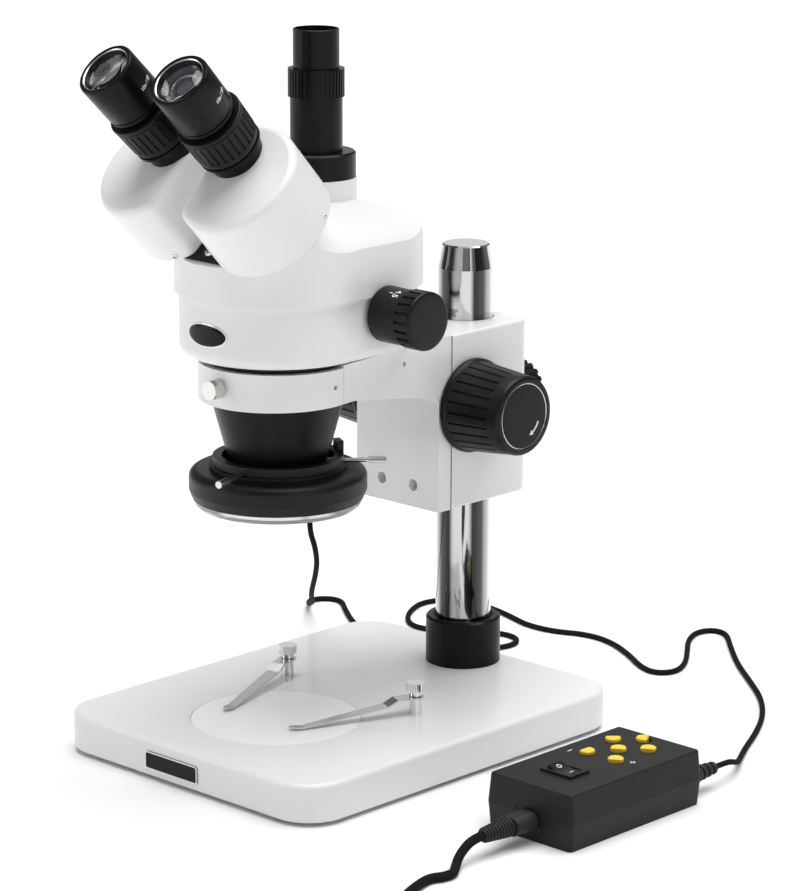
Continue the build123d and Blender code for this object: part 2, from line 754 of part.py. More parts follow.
with BuildPart() as diopter_ring_right:
    with BuildSketch(tube_plane(31)):
        Circle(18.6)
    with BuildSketch(tube_plane(52.8)):
        Circle(17.8)
    loft()
    with BuildSketch(tube_plane(33)):
        with PolarLocations(18.7, 34):
            Rectangle(1.3, 1.4)
    extrude(amount=-18, mode=Mode.SUBTRACT)
    with BuildSketch(tube_plane(29)):
        Circle(15.4 + running)
    extrude(amount=-26, mode=Mode.SUBTRACT)

with BuildPart() as eyepiece_right:
    with BuildSketch(tube_plane(0)):
        Circle(16.4)
    extrude(amount=-26.8)
    fillet(eyepiece_right.faces().sort_by(Axis(facet.origin, facet.z_dir))[-1].edges(), 1.4)
    with BuildSketch(tube_plane(26.8)):
        Circle(15.9)
    extrude(amount=-2.4)
    with BuildSketch(tube_plane(29)):
        Circle(eye_bore_r - running)
    extrude(amount=-22)
    with BuildSketch(tube_plane(-1)):
        Circle(11.8)
    extrude(amount=-60, mode=Mode.SUBTRACT)
    with BuildSketch(tube_plane(-1)):
        Circle(13.6)
    with BuildSketch(tube_plane(3)):
        Circle(11.8)
    loft(mode=Mode.SUBTRACT)
    # eye lens and field lens in their cells
    with BuildSketch(tube_plane(3.4)):
        Circle(11.78)
    extrude(amount=-4)
    with BuildSketch(tube_plane(40)):
        Circle(11.78)
    extrude(amount=-4)

eye_parts = (("prism_box", prism_box_right), ("eye_tube", eye_tube_right),
             ("diopter_ring", diopter_ring_right), ("eyepiece", eyepiece_right))
for part_name, right_part in eye_parts:
    save(right_part.part, part_name + "_right")
    with BuildPart() as left_part:
        add(mirror(right_part.part, about=Plane.YZ))
    save(left_part.part, part_name + "_left")

# ---------------------------------------------------------------- ring light
with BuildPart() as light_housing:
    with BuildSketch(Plane.YZ):
        with BuildLine():
            Polyline((barrel_y + 33, light_bottom + 2), (barrel_y + 30.6, light_bottom + 2),
                     (barrel_y + 30.6, light_collar_top),
                     (barrel_y + light_collar_r, light_collar_top),
                     (barrel_y + light_collar_r, light_top + 2.6),
                     (barrel_y + 37.4, light_top + 2.2), (barrel_y + 37.4, light_top),
                     (barrel_y + 43.6, light_top))
            ThreePointArc((barrel_y + 43.6, light_top), (barrel_y + 47.2, light_top - 1.4),
                     (barrel_y + light_r, light_top - 4.6))
            Polyline((barrel_y + light_r, light_top - 4.6), (barrel_y + light_r, light_bottom + 5),
                     (barrel_y + 46.6, light_bottom),
                     (barrel_y + 44.6, light_bottom), (barrel_y + 44.6, light_bottom + 8),
                     (barrel_y + 33, light_bottom + 8),
                     (barrel_y + 33, light_bottom + 2))
        make_face()
    revolve(axis=Axis((0, barrel_y, 0), (0, 0, 1)))
    # small upright lug at the back of the collar
    with BuildSketch(Plane.XY.offset(light_top)):
        with Locations((lug_r * cos(radians(lug_angle)), barrel_y + lug_r * sin(radians(lug_angle)))):
            Rectangle(3.6, 8.0, rotation=lug_angle)
    extrude(amount=lug_height)
    for angle, start in light_screw_spots:
        direction = Vector(cos(radians(angle)), sin(radians(angle)), 0)
        with BuildSketch(Plane(origin=Vector(0, barrel_y, screw_z) + direction * 28, z_dir=direction)):
            Circle(light_screw_r + running)
        extrude(amount=12, mode=Mode.SUBTRACT)
save(light_housing.part, "light_housing")

with BuildPart() as led_board:
    with BuildSketch(Plane.XY.offset(light_bottom + 4)):
        with Locations((0, barrel_y)):
            Circle(44.6)
            Circle(33.0, mode=Mode.SUBTRACT)
    extrude(amount=1.6)
save(led_board.part, "led_board")

with BuildPart() as light_cover:
    with BuildSketch(Plane.YZ):
        with BuildLine():
            Polyline((barrel_y + 31.2, light_bottom + 2), (barrel_y + 31.2, light_bottom - 3.3),
                     (barrel_y + 32.4, light_bottom - 4.5),
                     (barrel_y + 43.6, light_bottom - 4.5), (barrel_y + 45.6, light_bottom - 2.4),
                     (barrel_y + 46.2, light_bottom),
                     (barrel_y + 44.4, light_bottom), (barrel_y + 44.4, light_bottom + 2.4),
                     (barrel_y + 33.2, light_bottom + 2.4),
                     (barrel_y + 33.2, light_bottom + 2), close=True)
        make_face()
    revolve(axis=Axis((0, barrel_y, 0), (0, 0, 1)))
save(light_cover.part, "light_cover")

with BuildPart() as light_screws:
    for angle, start in light_screw_spots:
        direction = Vector(cos(radians(angle)), sin(radians(angle)), 0)
        centre = Vector(0, barrel_y, screw_z)
        with BuildSketch(Plane(origin=centre + direction * start, z_dir=direction)):
            Circle(light_screw_r)
        extrude(amount=22)
        with BuildSketch(Plane(origin=centre + direction * (start + 22), z_dir=direction)):
            Circle(2.0)
            with PolarLocations(2.0, 14):
                Circle(0.16, mode=Mode.SUBTRACT)
        extrude(amount=9.8)
save(light_screws.part, "light_screws")

gland_angle = 121.0
gland_dir = Vector(cos(radians(gland_angle)), sin(radians(gland_angle)), 0)
gland_z = 159.0
gland_length = 13.6
gland_root = Vector(0, barrel_y, gland_z) + gland_dir * light_r
with BuildPart() as light_gland:
    with BuildSketch(Plane(origin=gland_root, z_dir=gland_dir)):
        Circle(4.0)
    with BuildSketch(Plane(origin=gland_root + gland_dir * gland_length, z_dir=gland_dir)):
        Circle(2.3)
    loft()
save(light_gland.part, "light_gland")


# ---------------------------------------------------------------- controller
def controller_shell(height, taper_sign):
    """Half shell from the parting plane, drafted inwards towards its flat face."""
    with BuildPart() as half:
        with BuildSketch(Plane.XY.offset(ctl_part)):
            with Locations((ctl_x, ctl_y)):
                RectangleRounded(ctl_w + 3, ctl_l + 3, 3.5)
        extrude(amount=height, taper=ctl_draft, dir=(0, 0, taper_sign))
        with BuildSketch(Plane.XY.offset(ctl_part)):
            with Locations((ctl_x, ctl_y)):
                RectangleRounded(ctl_w + 3 - 2 * ctl_wall - 2, ctl_l + 3 - 2 * ctl_wall - 2, 2)
        extrude(amount=height - ctl_wall, taper=ctl_draft, dir=(0, 0, taper_sign), mode=Mode.SUBTRACT)
    return half.part


front_y = ctl_y - ctl_l / 2 - 1.5
back_y = ctl_y + ctl_l / 2 + 1.5
button_r = 4.3
button_proud = 1.8
button_flat = 2.2
button_spots = (("left", 172.5, 32.7, 135), ("back", 184.3, 44.2, 30), ("right", 196.6, 33.1, -60),
                ("near", 185.2, 22.0, -60), ("minus", 175.7, 7.5, 180), ("plus", 195.4, 7.8, -60))
rocker_x = 187.4
rocker_y = -24.0
lead_gland_x = 187.5
led_gland_x = 204.0
cable_z = 12.0
led_gland_z = 11.0

with BuildPart() as controller_top:
    add(controller_shell(ctl_top - ctl_part, 1))
    fillet(controller_top.faces().sort_by(Axis.Z)[-1].edges(), 1.2)
    with BuildSketch(Plane.XY.offset(ctl_top - 5)):
        with Locations(*[spot[1:3] for spot in button_spots]):
            Circle(button_r + 0.1)
        with Locations((rocker_x, rocker_y)):
            Rectangle(18.4, 13.0)
    extrude(amount=10, mode=Mode.SUBTRACT)
    with BuildSketch(Plane.XZ.offset(-(front_y + 8))):
        with Locations((lead_gland_x, cable_z)):
            Rectangle(17.0, 13.2)
    extrude(amount=20, mode=Mode.SUBTRACT)
save(controller_top.part, "controller_top")

with BuildPart() as controller_bottom:
    add(controller_shell(ctl_part, -1))
    with BuildSketch(Plane.XZ.offset(-(front_y + 8))):
        with Locations((lead_gland_x, cable_z)):
            Rectangle(17.0, 13.2)
    extrude(amount=20, mode=Mode.SUBTRACT)
    with BuildSketch(Plane.XZ.offset(-(back_y - 8))):
        with Locations((led_gland_x, led_gland_z)):
            Circle(3.2)
    extrude(amount=-20, mode=Mode.SUBTRACT)
save(controller_bottom.part, "controller_bottom")

with BuildPart() as controller_board:
    with BuildSketch(Plane.XY.offset(ctl_part - 1)):
        with Locations((ctl_x, ctl_y + 4)):
            Rectangle(46, 84)
    extrude(amount=1.6)
save(controller_board.part, "controller_board")

with BuildPart() as mains_inlet:
    with BuildSketch(Plane.XZ.offset(-(front_y + 14))):
        with Locations((lead_gland_x, cable_z)):
            Rectangle(16.8, 12.9)
            SlotOverall(12.4, 8.0, mode=Mode.SUBTRACT)
    extrude(amount=13.6)
save(mains_inlet.part, "mains_inlet")

with BuildPart() as switch_frame:
    with BuildSketch(Plane.XY.offset(ctl_top)):
        with Locations((rocker_x, rocker_y)):
            Rectangle(21, 15)
            Rectangle(16.2, 10.8, mode=Mode.SUBTRACT)
    extrude(amount=1.4)
    with BuildSketch(Plane.XY.offset(ctl_top - 9)):
        with Locations((rocker_x, rocker_y)):
            Rectangle(18.2, 12.8)
            Rectangle(16.2, 10.8, mode=Mode.SUBTRACT)
    extrude(amount=9)
save(switch_frame.part, "switch_frame")

# rocker pressed on the +X side
rocker_tilt = 7.0
rocker_plane = Plane(origin=(rocker_x, rocker_y, ctl_top - 1.5), x_dir=(cos(radians(rocker_tilt)), 0,
                     -sin(radians(rocker_tilt))), z_dir=(sin(radians(rocker_tilt)), 0, cos(radians(rocker_tilt))))
rocker_upright = Plane(origin=rocker_plane.origin, x_dir=rocker_plane.x_dir, z_dir=(0, -1, 0))
with BuildPart() as rocker:
    with BuildSketch(rocker_upright):
        with BuildLine():
            Line((-7.5, 3.9), (-7.3, -2.0))
            Line((-7.3, -2.0), (7.3, -2.0))
            Line((7.3, -2.0), (7.5, 3.9))
            ThreePointArc((7.5, 3.9), (0, 2.5), (-7.5, 3.9))
        make_face()
    extrude(amount=5.1, both=True)
save(rocker.part, "rocker")

for spot_name, spot_x, spot_y, flat_angle in button_spots:
    with BuildPart() as button:
        with BuildSketch(Plane.XY.offset(ctl_top - 7)):
            with Locations((spot_x, spot_y)):
                Circle(button_r)
        extrude(amount=7 + button_proud)
        with BuildSketch(Plane.XY.offset(ctl_top - 7)):
            with Locations(Location((spot_x, spot_y, 0), (0, 0, flat_angle))):
                with Locations((button_flat, 0)):
                    Rectangle(6, 12, align=(Align.MIN, Align.CENTER))
        extrude(amount=7 + button_proud, mode=Mode.SUBTRACT)
        chamfer(button.faces().sort_by(Axis.Z)[-1].edges(), 0.5)
    save(button.part, "button_" + spot_name)

with BuildPart() as controller_gland:
    with BuildSketch(Plane.XZ.offset(-(back_y - 3.2))):
        with Locations((led_gland_x, led_gland_z)):
            Circle(3.1)
    extrude(amount=-6.5)
    with BuildSketch(Plane.XZ.offset(-(back_y + 3.3))):
        with Locations((led_gland_x, led_gland_z)):
            Circle(4.2)
    with BuildSketch(Plane.XZ.offset(-(back_y + 26))):
        with Locations((led_gland_x, led_gland_z)):
            Circle(2.3)
    loft()
save(controller_gland.part, "controller_gland")

boot_end = -88.0
with BuildPart() as lead_connector:
    with BuildSketch(Plane.XZ.offset(-(front_y + 10))):
        with Locations((lead_gland_x, cable_z)):
            SlotOverall(12.0, 7.6)
    extrude(amount=10.5)
    with BuildSketch(Plane.XZ.offset(-(front_y - 0.5))):
        with Locations((lead_gland_x, cable_z)):
            SlotOverall(15.0, 10.0)
    extrude(amount=15)
    with BuildSketch(Plane.XZ.offset(-(front_y - 15.5))):
        with Locations((lead_gland_x, cable_z)):
            Circle(4.9)
    with BuildSketch(Plane.XZ.offset(-boot_end)):
        with Locations((lead_gland_x, cable_z)):
            Circle(3.2)
    loft()
save(lead_connector.part, "lead_connector")

# ---------------------------------------------------------------- cables, lying on the table
led_rest = led_d / 2 + 0.05
led_exit = gland_root + gland_dir * gland_length
led_split = (-160.6, 169.1, led_rest)
led_drop_route = [
    (led_exit.X, led_exit.Y, led_exit.Z),
    (led_exit.X + 9 * gland_dir.X, led_exit.Y + 9 * gland_dir.Y, led_exit.Z),
    (-42.5, 18.5, 150), (-44.5, 20.5, 138), (-45.5, 20.5, 123), (-49, 24, 106), (-57, 36, 89),
    (-70, 51, 73), (-88, 67, 57), (-110, 86, 43), (-134, 110, 29.5), (-158, 135, 18), (-177, 152, 9.5),
    (-189, 162, 4.5), (-199, 172.5, 2.1), (-199.5, 181, led_rest), (-192.5, 187.5, led_rest),
    (-183.5, 187, led_rest), (-172, 177.5, led_rest), led_split,
]
save(cable(led_drop_route, led_d, "led_cord_drop"), "led_cord_drop")

led_table_route = [
    led_split, (-149.2, 160.7, led_rest), (-128, 150, led_rest), (-103, 146, led_rest), (-80, 150, led_rest),
    (-62, 161, led_rest), (-49, 176, led_rest), (-43, 192, led_rest), (-48, 204, led_rest),
    (-61, 208, led_rest), (-78, 199, led_rest), (-98, 183, led_rest), (-113, 179, led_rest),
    (-127, 187, led_rest), (-139, 203, led_rest), (-146, 221, led_rest), (-140, 236, led_rest),
    (-125, 243, led_rest), (-106, 243, led_rest), (-86, 238, led_rest), (-66, 231, led_rest),
    (-45, 232, led_rest), (-25, 242, led_rest), (-4, 240, led_rest), (20, 228, led_rest),
    (41, 214, led_rest), (55, 210.5, led_rest), (62.5, 221, led_rest), (56, 238, led_rest), (42, 257, led_rest),
    (27, 276, led_rest), (20, 293, led_rest), (25, 304, led_rest), (36, 303, led_rest), (52, 286, led_rest),
    (78, 260, led_rest), (105, 238, led_rest), (130, 217, led_rest), (151, 192, led_rest),
    (167, 165, led_rest), (179, 140, led_rest), (190, 121, 2.6), (198.5, 108, 5.5), (203.4, 95, 10.5),
    (led_gland_x, back_y + 34, led_gland_z), (led_gland_x, back_y + 26, led_gland_z),
]
save(cable(led_table_route, led_d, "led_cord_table"), "led_cord_table")

lead_rest = lead_d / 2 + 0.05
coil_out = coil_mean_r + 8.25
lead_route = [
    (lead_gland_x, boot_end, cable_z), (lead_gland_x, boot_end - 8, cable_z), (188.2, -106, 6.5), (192.0, -113, lead_rest),
    (196.5, -119, lead_rest), (196.0, -126, lead_rest), (192.5, -132, lead_rest), (194, -141, lead_rest),
    (199, -156, lead_rest), (coil_x - 0.75 * (coil_out + 17), coil_y + 0.6614 * (coil_out + 17), lead_rest),
    (coil_x - 0.75 * coil_out, coil_y + 0.6614 * coil_out, lead_rest),
]
save(cable(lead_route, lead_d, "mains_lead"), "mains_lead")

with BuildPart() as mains_coil:
    with BuildSketch(Plane.XZ.offset(-coil_y)):
        with Locations((coil_x + coil_mean_r, coil_height / 2)):
            RectangleRounded(16.4, coil_height, 2.5)
    revolve(axis=Axis((coil_x, coil_y, 0), (0, 0, 1)))
save(mains_coil.part, "mains_coil")

# wall plug lying beside the coil, its flat pins pointing away from the stand
plug_x = 296.0
plug_y = -222.0
with BuildPart() as wall_plug:
    with BuildSketch(Plane.XZ.offset(-plug_y)):
        with Locations((plug_x + 6, 8.0)):
            RectangleRounded(24, 15.6, 5)
    with BuildSketch(Plane.XZ.offset(-(plug_y + 25))):
        with Locations((plug_x + 6, 8.0)):
            RectangleRounded(22, 14, 4)
    loft()
    with BuildSketch(Plane.XZ.offset(-(plug_y + 25))):
        with Locations((plug_x + 6 - 6.35, 8.0), (plug_x + 6 + 6.35, 8.0)):
            Rectangle(1.5, 6.3)
    extrude(amount=-16)
save(wall_plug.part, "wall_plug")
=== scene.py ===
import bpy
import bmesh
import json
import math
from mathutils import Matrix, Vector


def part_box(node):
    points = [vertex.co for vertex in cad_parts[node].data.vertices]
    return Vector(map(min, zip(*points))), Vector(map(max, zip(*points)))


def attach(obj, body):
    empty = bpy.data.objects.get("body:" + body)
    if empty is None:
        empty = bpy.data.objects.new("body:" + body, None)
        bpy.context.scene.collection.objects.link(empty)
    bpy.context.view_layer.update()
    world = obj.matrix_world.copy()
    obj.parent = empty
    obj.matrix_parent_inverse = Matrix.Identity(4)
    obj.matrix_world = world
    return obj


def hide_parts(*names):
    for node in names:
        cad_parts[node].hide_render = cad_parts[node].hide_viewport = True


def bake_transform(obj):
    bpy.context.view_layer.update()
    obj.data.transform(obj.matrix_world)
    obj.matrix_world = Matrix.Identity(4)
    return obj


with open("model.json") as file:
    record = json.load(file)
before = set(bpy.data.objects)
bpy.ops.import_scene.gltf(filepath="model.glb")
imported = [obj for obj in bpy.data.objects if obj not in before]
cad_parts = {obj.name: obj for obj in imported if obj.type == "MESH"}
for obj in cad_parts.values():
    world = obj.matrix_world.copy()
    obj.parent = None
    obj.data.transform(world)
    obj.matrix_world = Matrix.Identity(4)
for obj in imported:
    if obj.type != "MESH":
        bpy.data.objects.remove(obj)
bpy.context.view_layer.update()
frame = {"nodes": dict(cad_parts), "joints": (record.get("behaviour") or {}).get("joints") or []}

MM = 0.001
UP = Vector((0, 0, 1))
ACROSS = Vector((1, 0, 0))
AWAY = Vector((0, 1, 0))
ROUND_STEPS = 96


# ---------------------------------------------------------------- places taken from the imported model
def middle(node):
    """Centre of a CAD node's box."""
    low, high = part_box(node)
    return (low + high) / 2


def joint(name):
    """One joint of the record."""
    return next(j for j in frame["joints"] if j["name"] == name)


barrel = Vector(joint("head_swivel")["pos_m"])
zoom_axis = Vector(joint("zoom_turn")["pos_m"])
pinion_axis = Vector(joint("pinion_turn")["pos_m"])
eye_ring = Vector(joint("diopter_right_turn")["pos_m"])
eye_axis = Vector(joint("diopter_right_turn")["axis"]).normalized()
eye_ring_distance = 42 * MM
rim_centre = eye_ring + eye_axis * eye_ring_distance
base_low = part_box("base_plate")[0]
box_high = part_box("controller_top")[1]
case_low, case_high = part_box("controller_bottom")


# ---------------------------------------------------------------- camera
def look_from(azimuth, elevation, distance, target, roll):
    """Camera on a sphere round the target; azimuth 0 looks along +Y."""
    a, e = math.radians(azimuth), math.radians(elevation)
    back = Vector((math.sin(a) * math.cos(e), -math.cos(a) * math.cos(e), math.sin(e)))
    camera_data = bpy.data.cameras.new("camera")
    camera_data.lens = 142.77
    camera_data.sensor_width = 36
    camera_data.clip_start = 0.05
    camera_data.clip_end = 50
    camera = bpy.data.objects.new("camera", camera_data)
    bpy.context.scene.collection.objects.link(camera)
    camera.rotation_mode = "QUATERNION"
    camera.location = target + back * distance
    turn = (-back).to_track_quat("-Z", "Y")
    camera.rotation_quaternion = Matrix.Rotation(math.radians(roll), 3, back).to_quaternion() @ turn
    bpy.context.scene.camera = camera


look_from(azimuth=43.64, elevation=14.003, distance=1.96064, target=Vector((0.01958, 0.02497, 0.16835)),
          roll=0.178)


# ---------------------------------------------------------------- materials
def socket(node, *names):
    """The first input of a shader that has one of these names."""
    for name in names:
        if name in node.inputs:
            return node.inputs[name]
    raise KeyError(names)


def finish_of(name, color, rough, metal=0.0, spread=0.03, grain=900.0, bump=0.02, mottled=40.0,
              mottle=0.04, coat=0.0, stretch=(1, 1, 1), specular=0.5, transmission=0.0, ior=1.45, glow=0.0):
    """Principled finish whose colour and roughness vary with two noises, with a fine bump on top."""
    made = bpy.data.materials.new(name)
    made.use_nodes = True
    nodes, links = made.node_tree.nodes, made.node_tree.links
    shader = nodes["Principled BSDF"]
    place = nodes.new("ShaderNodeTexCoord")
    scale = nodes.new("ShaderNodeMapping")
    scale.inputs["Scale"].default_value = stretch
    links.new(place.outputs["Object"], scale.inputs["Vector"])
    fine = nodes.new("ShaderNodeTexNoise")
    fine.inputs["Scale"].default_value = grain
    fine.inputs["Detail"].default_value = 3
    broad = nodes.new("ShaderNodeTexNoise")
    broad.inputs["Scale"].default_value = mottled
    broad.inputs["Detail"].default_value = 4
    links.new(scale.outputs["Vector"], fine.inputs["Vector"])
    links.new(scale.outputs["Vector"], broad.inputs["Vector"])
    tint = nodes.new("ShaderNodeValToRGB")
    low = [c * (1 - mottle) for c in color]
    high = [min(1.0, c * (1 + mottle)) for c in color]
    tint.color_ramp.elements[0].color = (*low, 1)
    tint.color_ramp.elements[1].color = (*high, 1)
    links.new(broad.outputs["Fac"], tint.inputs["Fac"])
    links.new(tint.outputs["Color"], shader.inputs["Base Color"])
    gloss = nodes.new("ShaderNodeMapRange")
    gloss.inputs["To Min"].default_value = max(0.02, rough - spread)
    gloss.inputs["To Max"].default_value = min(1.0, rough + spread)
    links.new(broad.outputs["Fac"], gloss.inputs["Value"])
    links.new(gloss.outputs["Result"], shader.inputs["Roughness"])
    shader.inputs["Metallic"].default_value = metal
    socket(shader, "Coat Weight", "Clearcoat").default_value = coat
    socket(shader, "Coat Roughness", "Clearcoat Roughness").default_value = 0.12
    socket(shader, "Specular IOR Level", "Specular").default_value = specular
    socket(shader, "Transmission Weight", "Transmission").default_value = transmission
    shader.inputs["IOR"].default_value = ior
    if glow:
        socket(shader, "Emission Color").default_value = (*color, 1)
        socket(shader, "Emission Strength").default_value = glow
    if bump:
        relief = nodes.new("ShaderNodeBump")
        relief.inputs["Strength"].default_value = bump
        relief.inputs["Distance"].default_value = 0.0004
        links.new(fine.outputs["Fac"], relief.inputs["Height"])
        links.new(relief.outputs["Normal"], shader.inputs["Normal"])
    return made


def paint_reflection_band(made, facing, sharp, dark):
    """Paints a reflection into a finish's base colour: darker where its surface faces one way or the
    opposite, a painted dark band standing in for dark surroundings reflected in the metal.
    """
    nodes, links = made.node_tree.nodes, made.node_tree.links
    shader = nodes["Principled BSDF"]
    surface = nodes.new("ShaderNodeNewGeometry")
    turn = nodes.new("ShaderNodeVectorMath")
    turn.operation = "DOT_PRODUCT"
    turn.inputs[1].default_value = facing
    links.new(surface.outputs["Normal"], turn.inputs[0])
    both = nodes.new("ShaderNodeMath")
    both.operation = "ABSOLUTE"
    links.new(turn.outputs["Value"], both.inputs[0])
    ramp = nodes.new("ShaderNodeValToRGB")
    ramp.color_ramp.interpolation = "EASE"
    stops = ramp.color_ramp.elements
    stops[0].position, stops[0].color = sharp[0], (1, 1, 1, 1)
    stops[1].position, stops[1].color = sharp[-1], (dark[-1], dark[-1], dark[-1], 1)
    for place, value in zip(sharp[1:-1], dark[1:-1]):
        stops.new(place).color = (value, value, value, 1)
    links.new(both.outputs["Value"], ramp.inputs["Fac"])
    mix = nodes.new("ShaderNodeMix")
    mix.data_type = "RGBA"
    mix.blend_type = "MULTIPLY"
    mix.inputs["Factor"].default_value = 1.0
    colour = shader.inputs["Base Color"].links[0].from_socket
    slots = [s for s in mix.inputs if s.type == "RGBA"]
    links.new(colour, slots[0])
    links.new(ramp.outputs["Color"], slots[1])
    links.new([s for s in mix.outputs if s.type == "RGBA"][0], shader.inputs["Base Color"])


ENAMEL = finish_of("white_enamel", (0.80, 0.81, 0.80), 0.36, spread=0.05, grain=700, bump=0.05, mottle=0.012,
                   coat=0.25)
ANODISED = finish_of("black_anodised", (0.004, 0.004, 0.0045), 0.30, spread=0.06, grain=1800, bump=0.05,
                     mottle=0.2, specular=0.20)
GLOSS_BLACK = finish_of("gloss_black", (0.004, 0.004, 0.0045), 0.16, spread=0.03, grain=300, bump=0.01,
                        mottle=0.1, specular=0.22)
KNOB = finish_of("knob_plastic", (0.006, 0.006, 0.0065), 0.36, spread=0.06, grain=2200, bump=0.10,
                 mottle=0.15, specular=0.26)
CASE = finish_of("case_plastic", (0.010, 0.010, 0.011), 0.50, spread=0.08, grain=1500, bump=0.45, mottle=0.2,
                 specular=0.32)
RING_PLASTIC = finish_of("ring_plastic", (0.006, 0.006, 0.0065), 0.38, spread=0.08, grain=1300, bump=0.35,
                         mottle=0.2, specular=0.30)
RUBBER = finish_of("black_rubber", (0.016, 0.016, 0.016), 0.62, spread=0.08, grain=1600, bump=0.15,
                   mottle=0.15)
CABLE = finish_of("cable_jacket", (0.011, 0.011, 0.012), 0.72, spread=0.06, grain=900, bump=0.08,
                  mottle=0.12, specular=0.06)
CHROME = finish_of("chrome", (0.78, 0.78, 0.79), 0.10, metal=1.0, spread=0.03, grain=500, bump=0.01,
                   mottle=0.03)
# Painted reflection: this chrome gets a dark band painted into its base colour, fixed to the way its surface
# faces.
PILLAR_CHROME_PAINTED_REFLECTION = finish_of("pillar_chrome_painted_reflection", (0.80, 0.80, 0.81), 0.07, metal=1.0, spread=0.02, grain=500,
                          bump=0.01, mottle=0.02)
paint_reflection_band(PILLAR_CHROME_PAINTED_REFLECTION, facing=(0.58, -0.81, 0.0), sharp=(0.30, 0.52, 0.72, 0.90, 0.97),
       dark=(1.0, 0.55, 0.10, 0.05, 0.75))
STEEL = finish_of("brushed_steel", (0.62, 0.62, 0.62), 0.26, metal=1.0, spread=0.06, grain=1500, bump=0.02,
                  mottle=0.05)
NICKEL = finish_of("nickel", (0.70, 0.69, 0.66), 0.20, metal=1.0, spread=0.06, grain=1500, bump=0.06,
                   mottle=0.05)
BRASS = finish_of("brass", (0.72, 0.53, 0.24), 0.28, metal=1.0, spread=0.08, grain=900, bump=0.05,
                  mottle=0.1)
STAGE = finish_of("stage_white", (0.93, 0.93, 0.92), 0.30, spread=0.04, grain=500, bump=0.03, mottle=0.02)
YELLOW = finish_of("yellow_rubber", (0.86, 0.60, 0.02), 0.34, spread=0.06, grain=900, bump=0.06, mottle=0.06,
                   coat=0.2)
BOARD = finish_of("solder_mask", (0.03, 0.16, 0.07), 0.4, spread=0.1, grain=500, bump=0.1, mottle=0.2)
MARKING = finish_of("white_marking", (0.82, 0.82, 0.80), 0.5, spread=0.05, grain=2000, bump=0.05,
                    mottle=0.04)
CLEAR = finish_of("clear_cover", (0.90, 0.91, 0.92), 0.14, spread=0.04, grain=400, bump=0.02, mottle=0.02,
                  transmission=0.75, ior=1.46)
LENS = finish_of("coated_lens", (0.045, 0.028, 0.085), 0.08, spread=0.02, grain=200, bump=0.0, mottle=0.5,
                 mottled=90, coat=0.6, specular=0.7)
LENS_WARM = finish_of("coated_lens_warm", (0.075, 0.058, 0.034), 0.08, spread=0.02, grain=200, bump=0.0,
                      mottle=0.5, mottled=90, coat=0.6, specular=0.7)
EYE_GLASS = finish_of("eye_glass", (0.96, 0.97, 0.98), 0.02, spread=0.005, grain=200, bump=0.0, mottle=0.01,
                      transmission=1.0, ior=1.5)
LED_WHITE = finish_of("led_white", (0.92, 0.93, 0.90), 0.25, spread=0.05, grain=900, bump=0.02, mottle=0.03)
# Painted shade: a near-black finish for flat strips and discs that stand in for the shade in gaps, grooves,
# a screw recess and inside the eyepieces.
PAINTED_SHADE = finish_of("painted_shade_black", (0.006, 0.006, 0.006), 0.7, spread=0.1, grain=900, bump=0.1, mottle=0.2)


def coat_with(thing, *materials):
    """Gives an object these materials and nothing else."""
    thing.data.materials.clear()
    for one in materials:
        thing.data.materials.append(one)
    return thing


cad_finish = {
    ENAMEL: ["base_plate", "focus_block", "slide_guide", "carriage_arm", "head_lower_housing",
             "head_upper_housing", "prism_box_right", "prism_box_left"],
    RUBBER: ["base_feet", "light_gland", "controller_gland", "lead_connector", "mains_coil", "wall_plug",
             "led_cord_drop", "led_cord_table", "mains_lead"],
    PILLAR_CHROME_PAINTED_REFLECTION: ["pillar"],
    CHROME: ["clip_posts"],
    ANODISED: ["pillar_collar", "objective_barrel", "lens_carrier_lower", "lens_carrier_upper", "port_tube",
               "port_ring", "eye_tube_right", "eye_tube_left", "diopter_ring_right", "diopter_ring_left",
               "eyepiece_right", "eyepiece_left"],
    STAGE: ["stage_plate"],
    STEEL: ["clip_left", "clip_right", "pinion_shaft", "zoom_shaft"],
    BRASS: ["pillar_bush", "focus_rack"],
    KNOB: ["lock_knob", "focus_knob_right", "focus_knob_left", "zoom_knobs", "rocker"],
    NICKEL: ["ring_thumb_screw", "light_screws"],
    LENS: ["objective_lenses"],
    RING_PLASTIC: ["light_housing"],
    BOARD: ["led_board", "controller_board"],
    CLEAR: ["light_cover"],
    CASE: ["controller_top", "controller_bottom", "mains_inlet", "switch_frame"],
    YELLOW: ["button_left", "button_back", "button_right", "button_near", "button_minus", "button_plus"],
}
for finish, names in cad_finish.items():
    for cad_name in names:
        coat_with(frame["nodes"][cad_name], finish)


# ---------------------------------------------------------------- mesh tools
def new_piece(name, verts, faces, material, body, smooth=True):
    """Mesh object from points and faces, riding on a body."""
    mesh = bpy.data.meshes.new(name)
    mesh.from_pydata([tuple(v) for v in verts], [], faces)
    tidy = bmesh.new()
    tidy.from_mesh(mesh)
    bmesh.ops.recalc_face_normals(tidy, faces=tidy.faces)
    tidy.to_mesh(mesh)
    tidy.free()
    piece = bpy.data.objects.new(name, mesh)
    bpy.context.scene.collection.objects.link(piece)
    coat_with(piece, material)
    if smooth:
        mesh.shade_smooth()
        mesh.set_sharp_from_angle(angle=math.radians(38))
    if body:
        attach(piece, body)
    return piece


def axes_of(direction, start=None):
    """Two unit vectors square to a direction; start is turned into the first one."""
    direction = direction.normalized()
    first = start or (Vector((1, 0, 0)) if abs(direction.x) < 0.9 else Vector((0, 1, 0)))
    first = (first - direction * first.dot(direction)).normalized()
    return first, direction.cross(first)


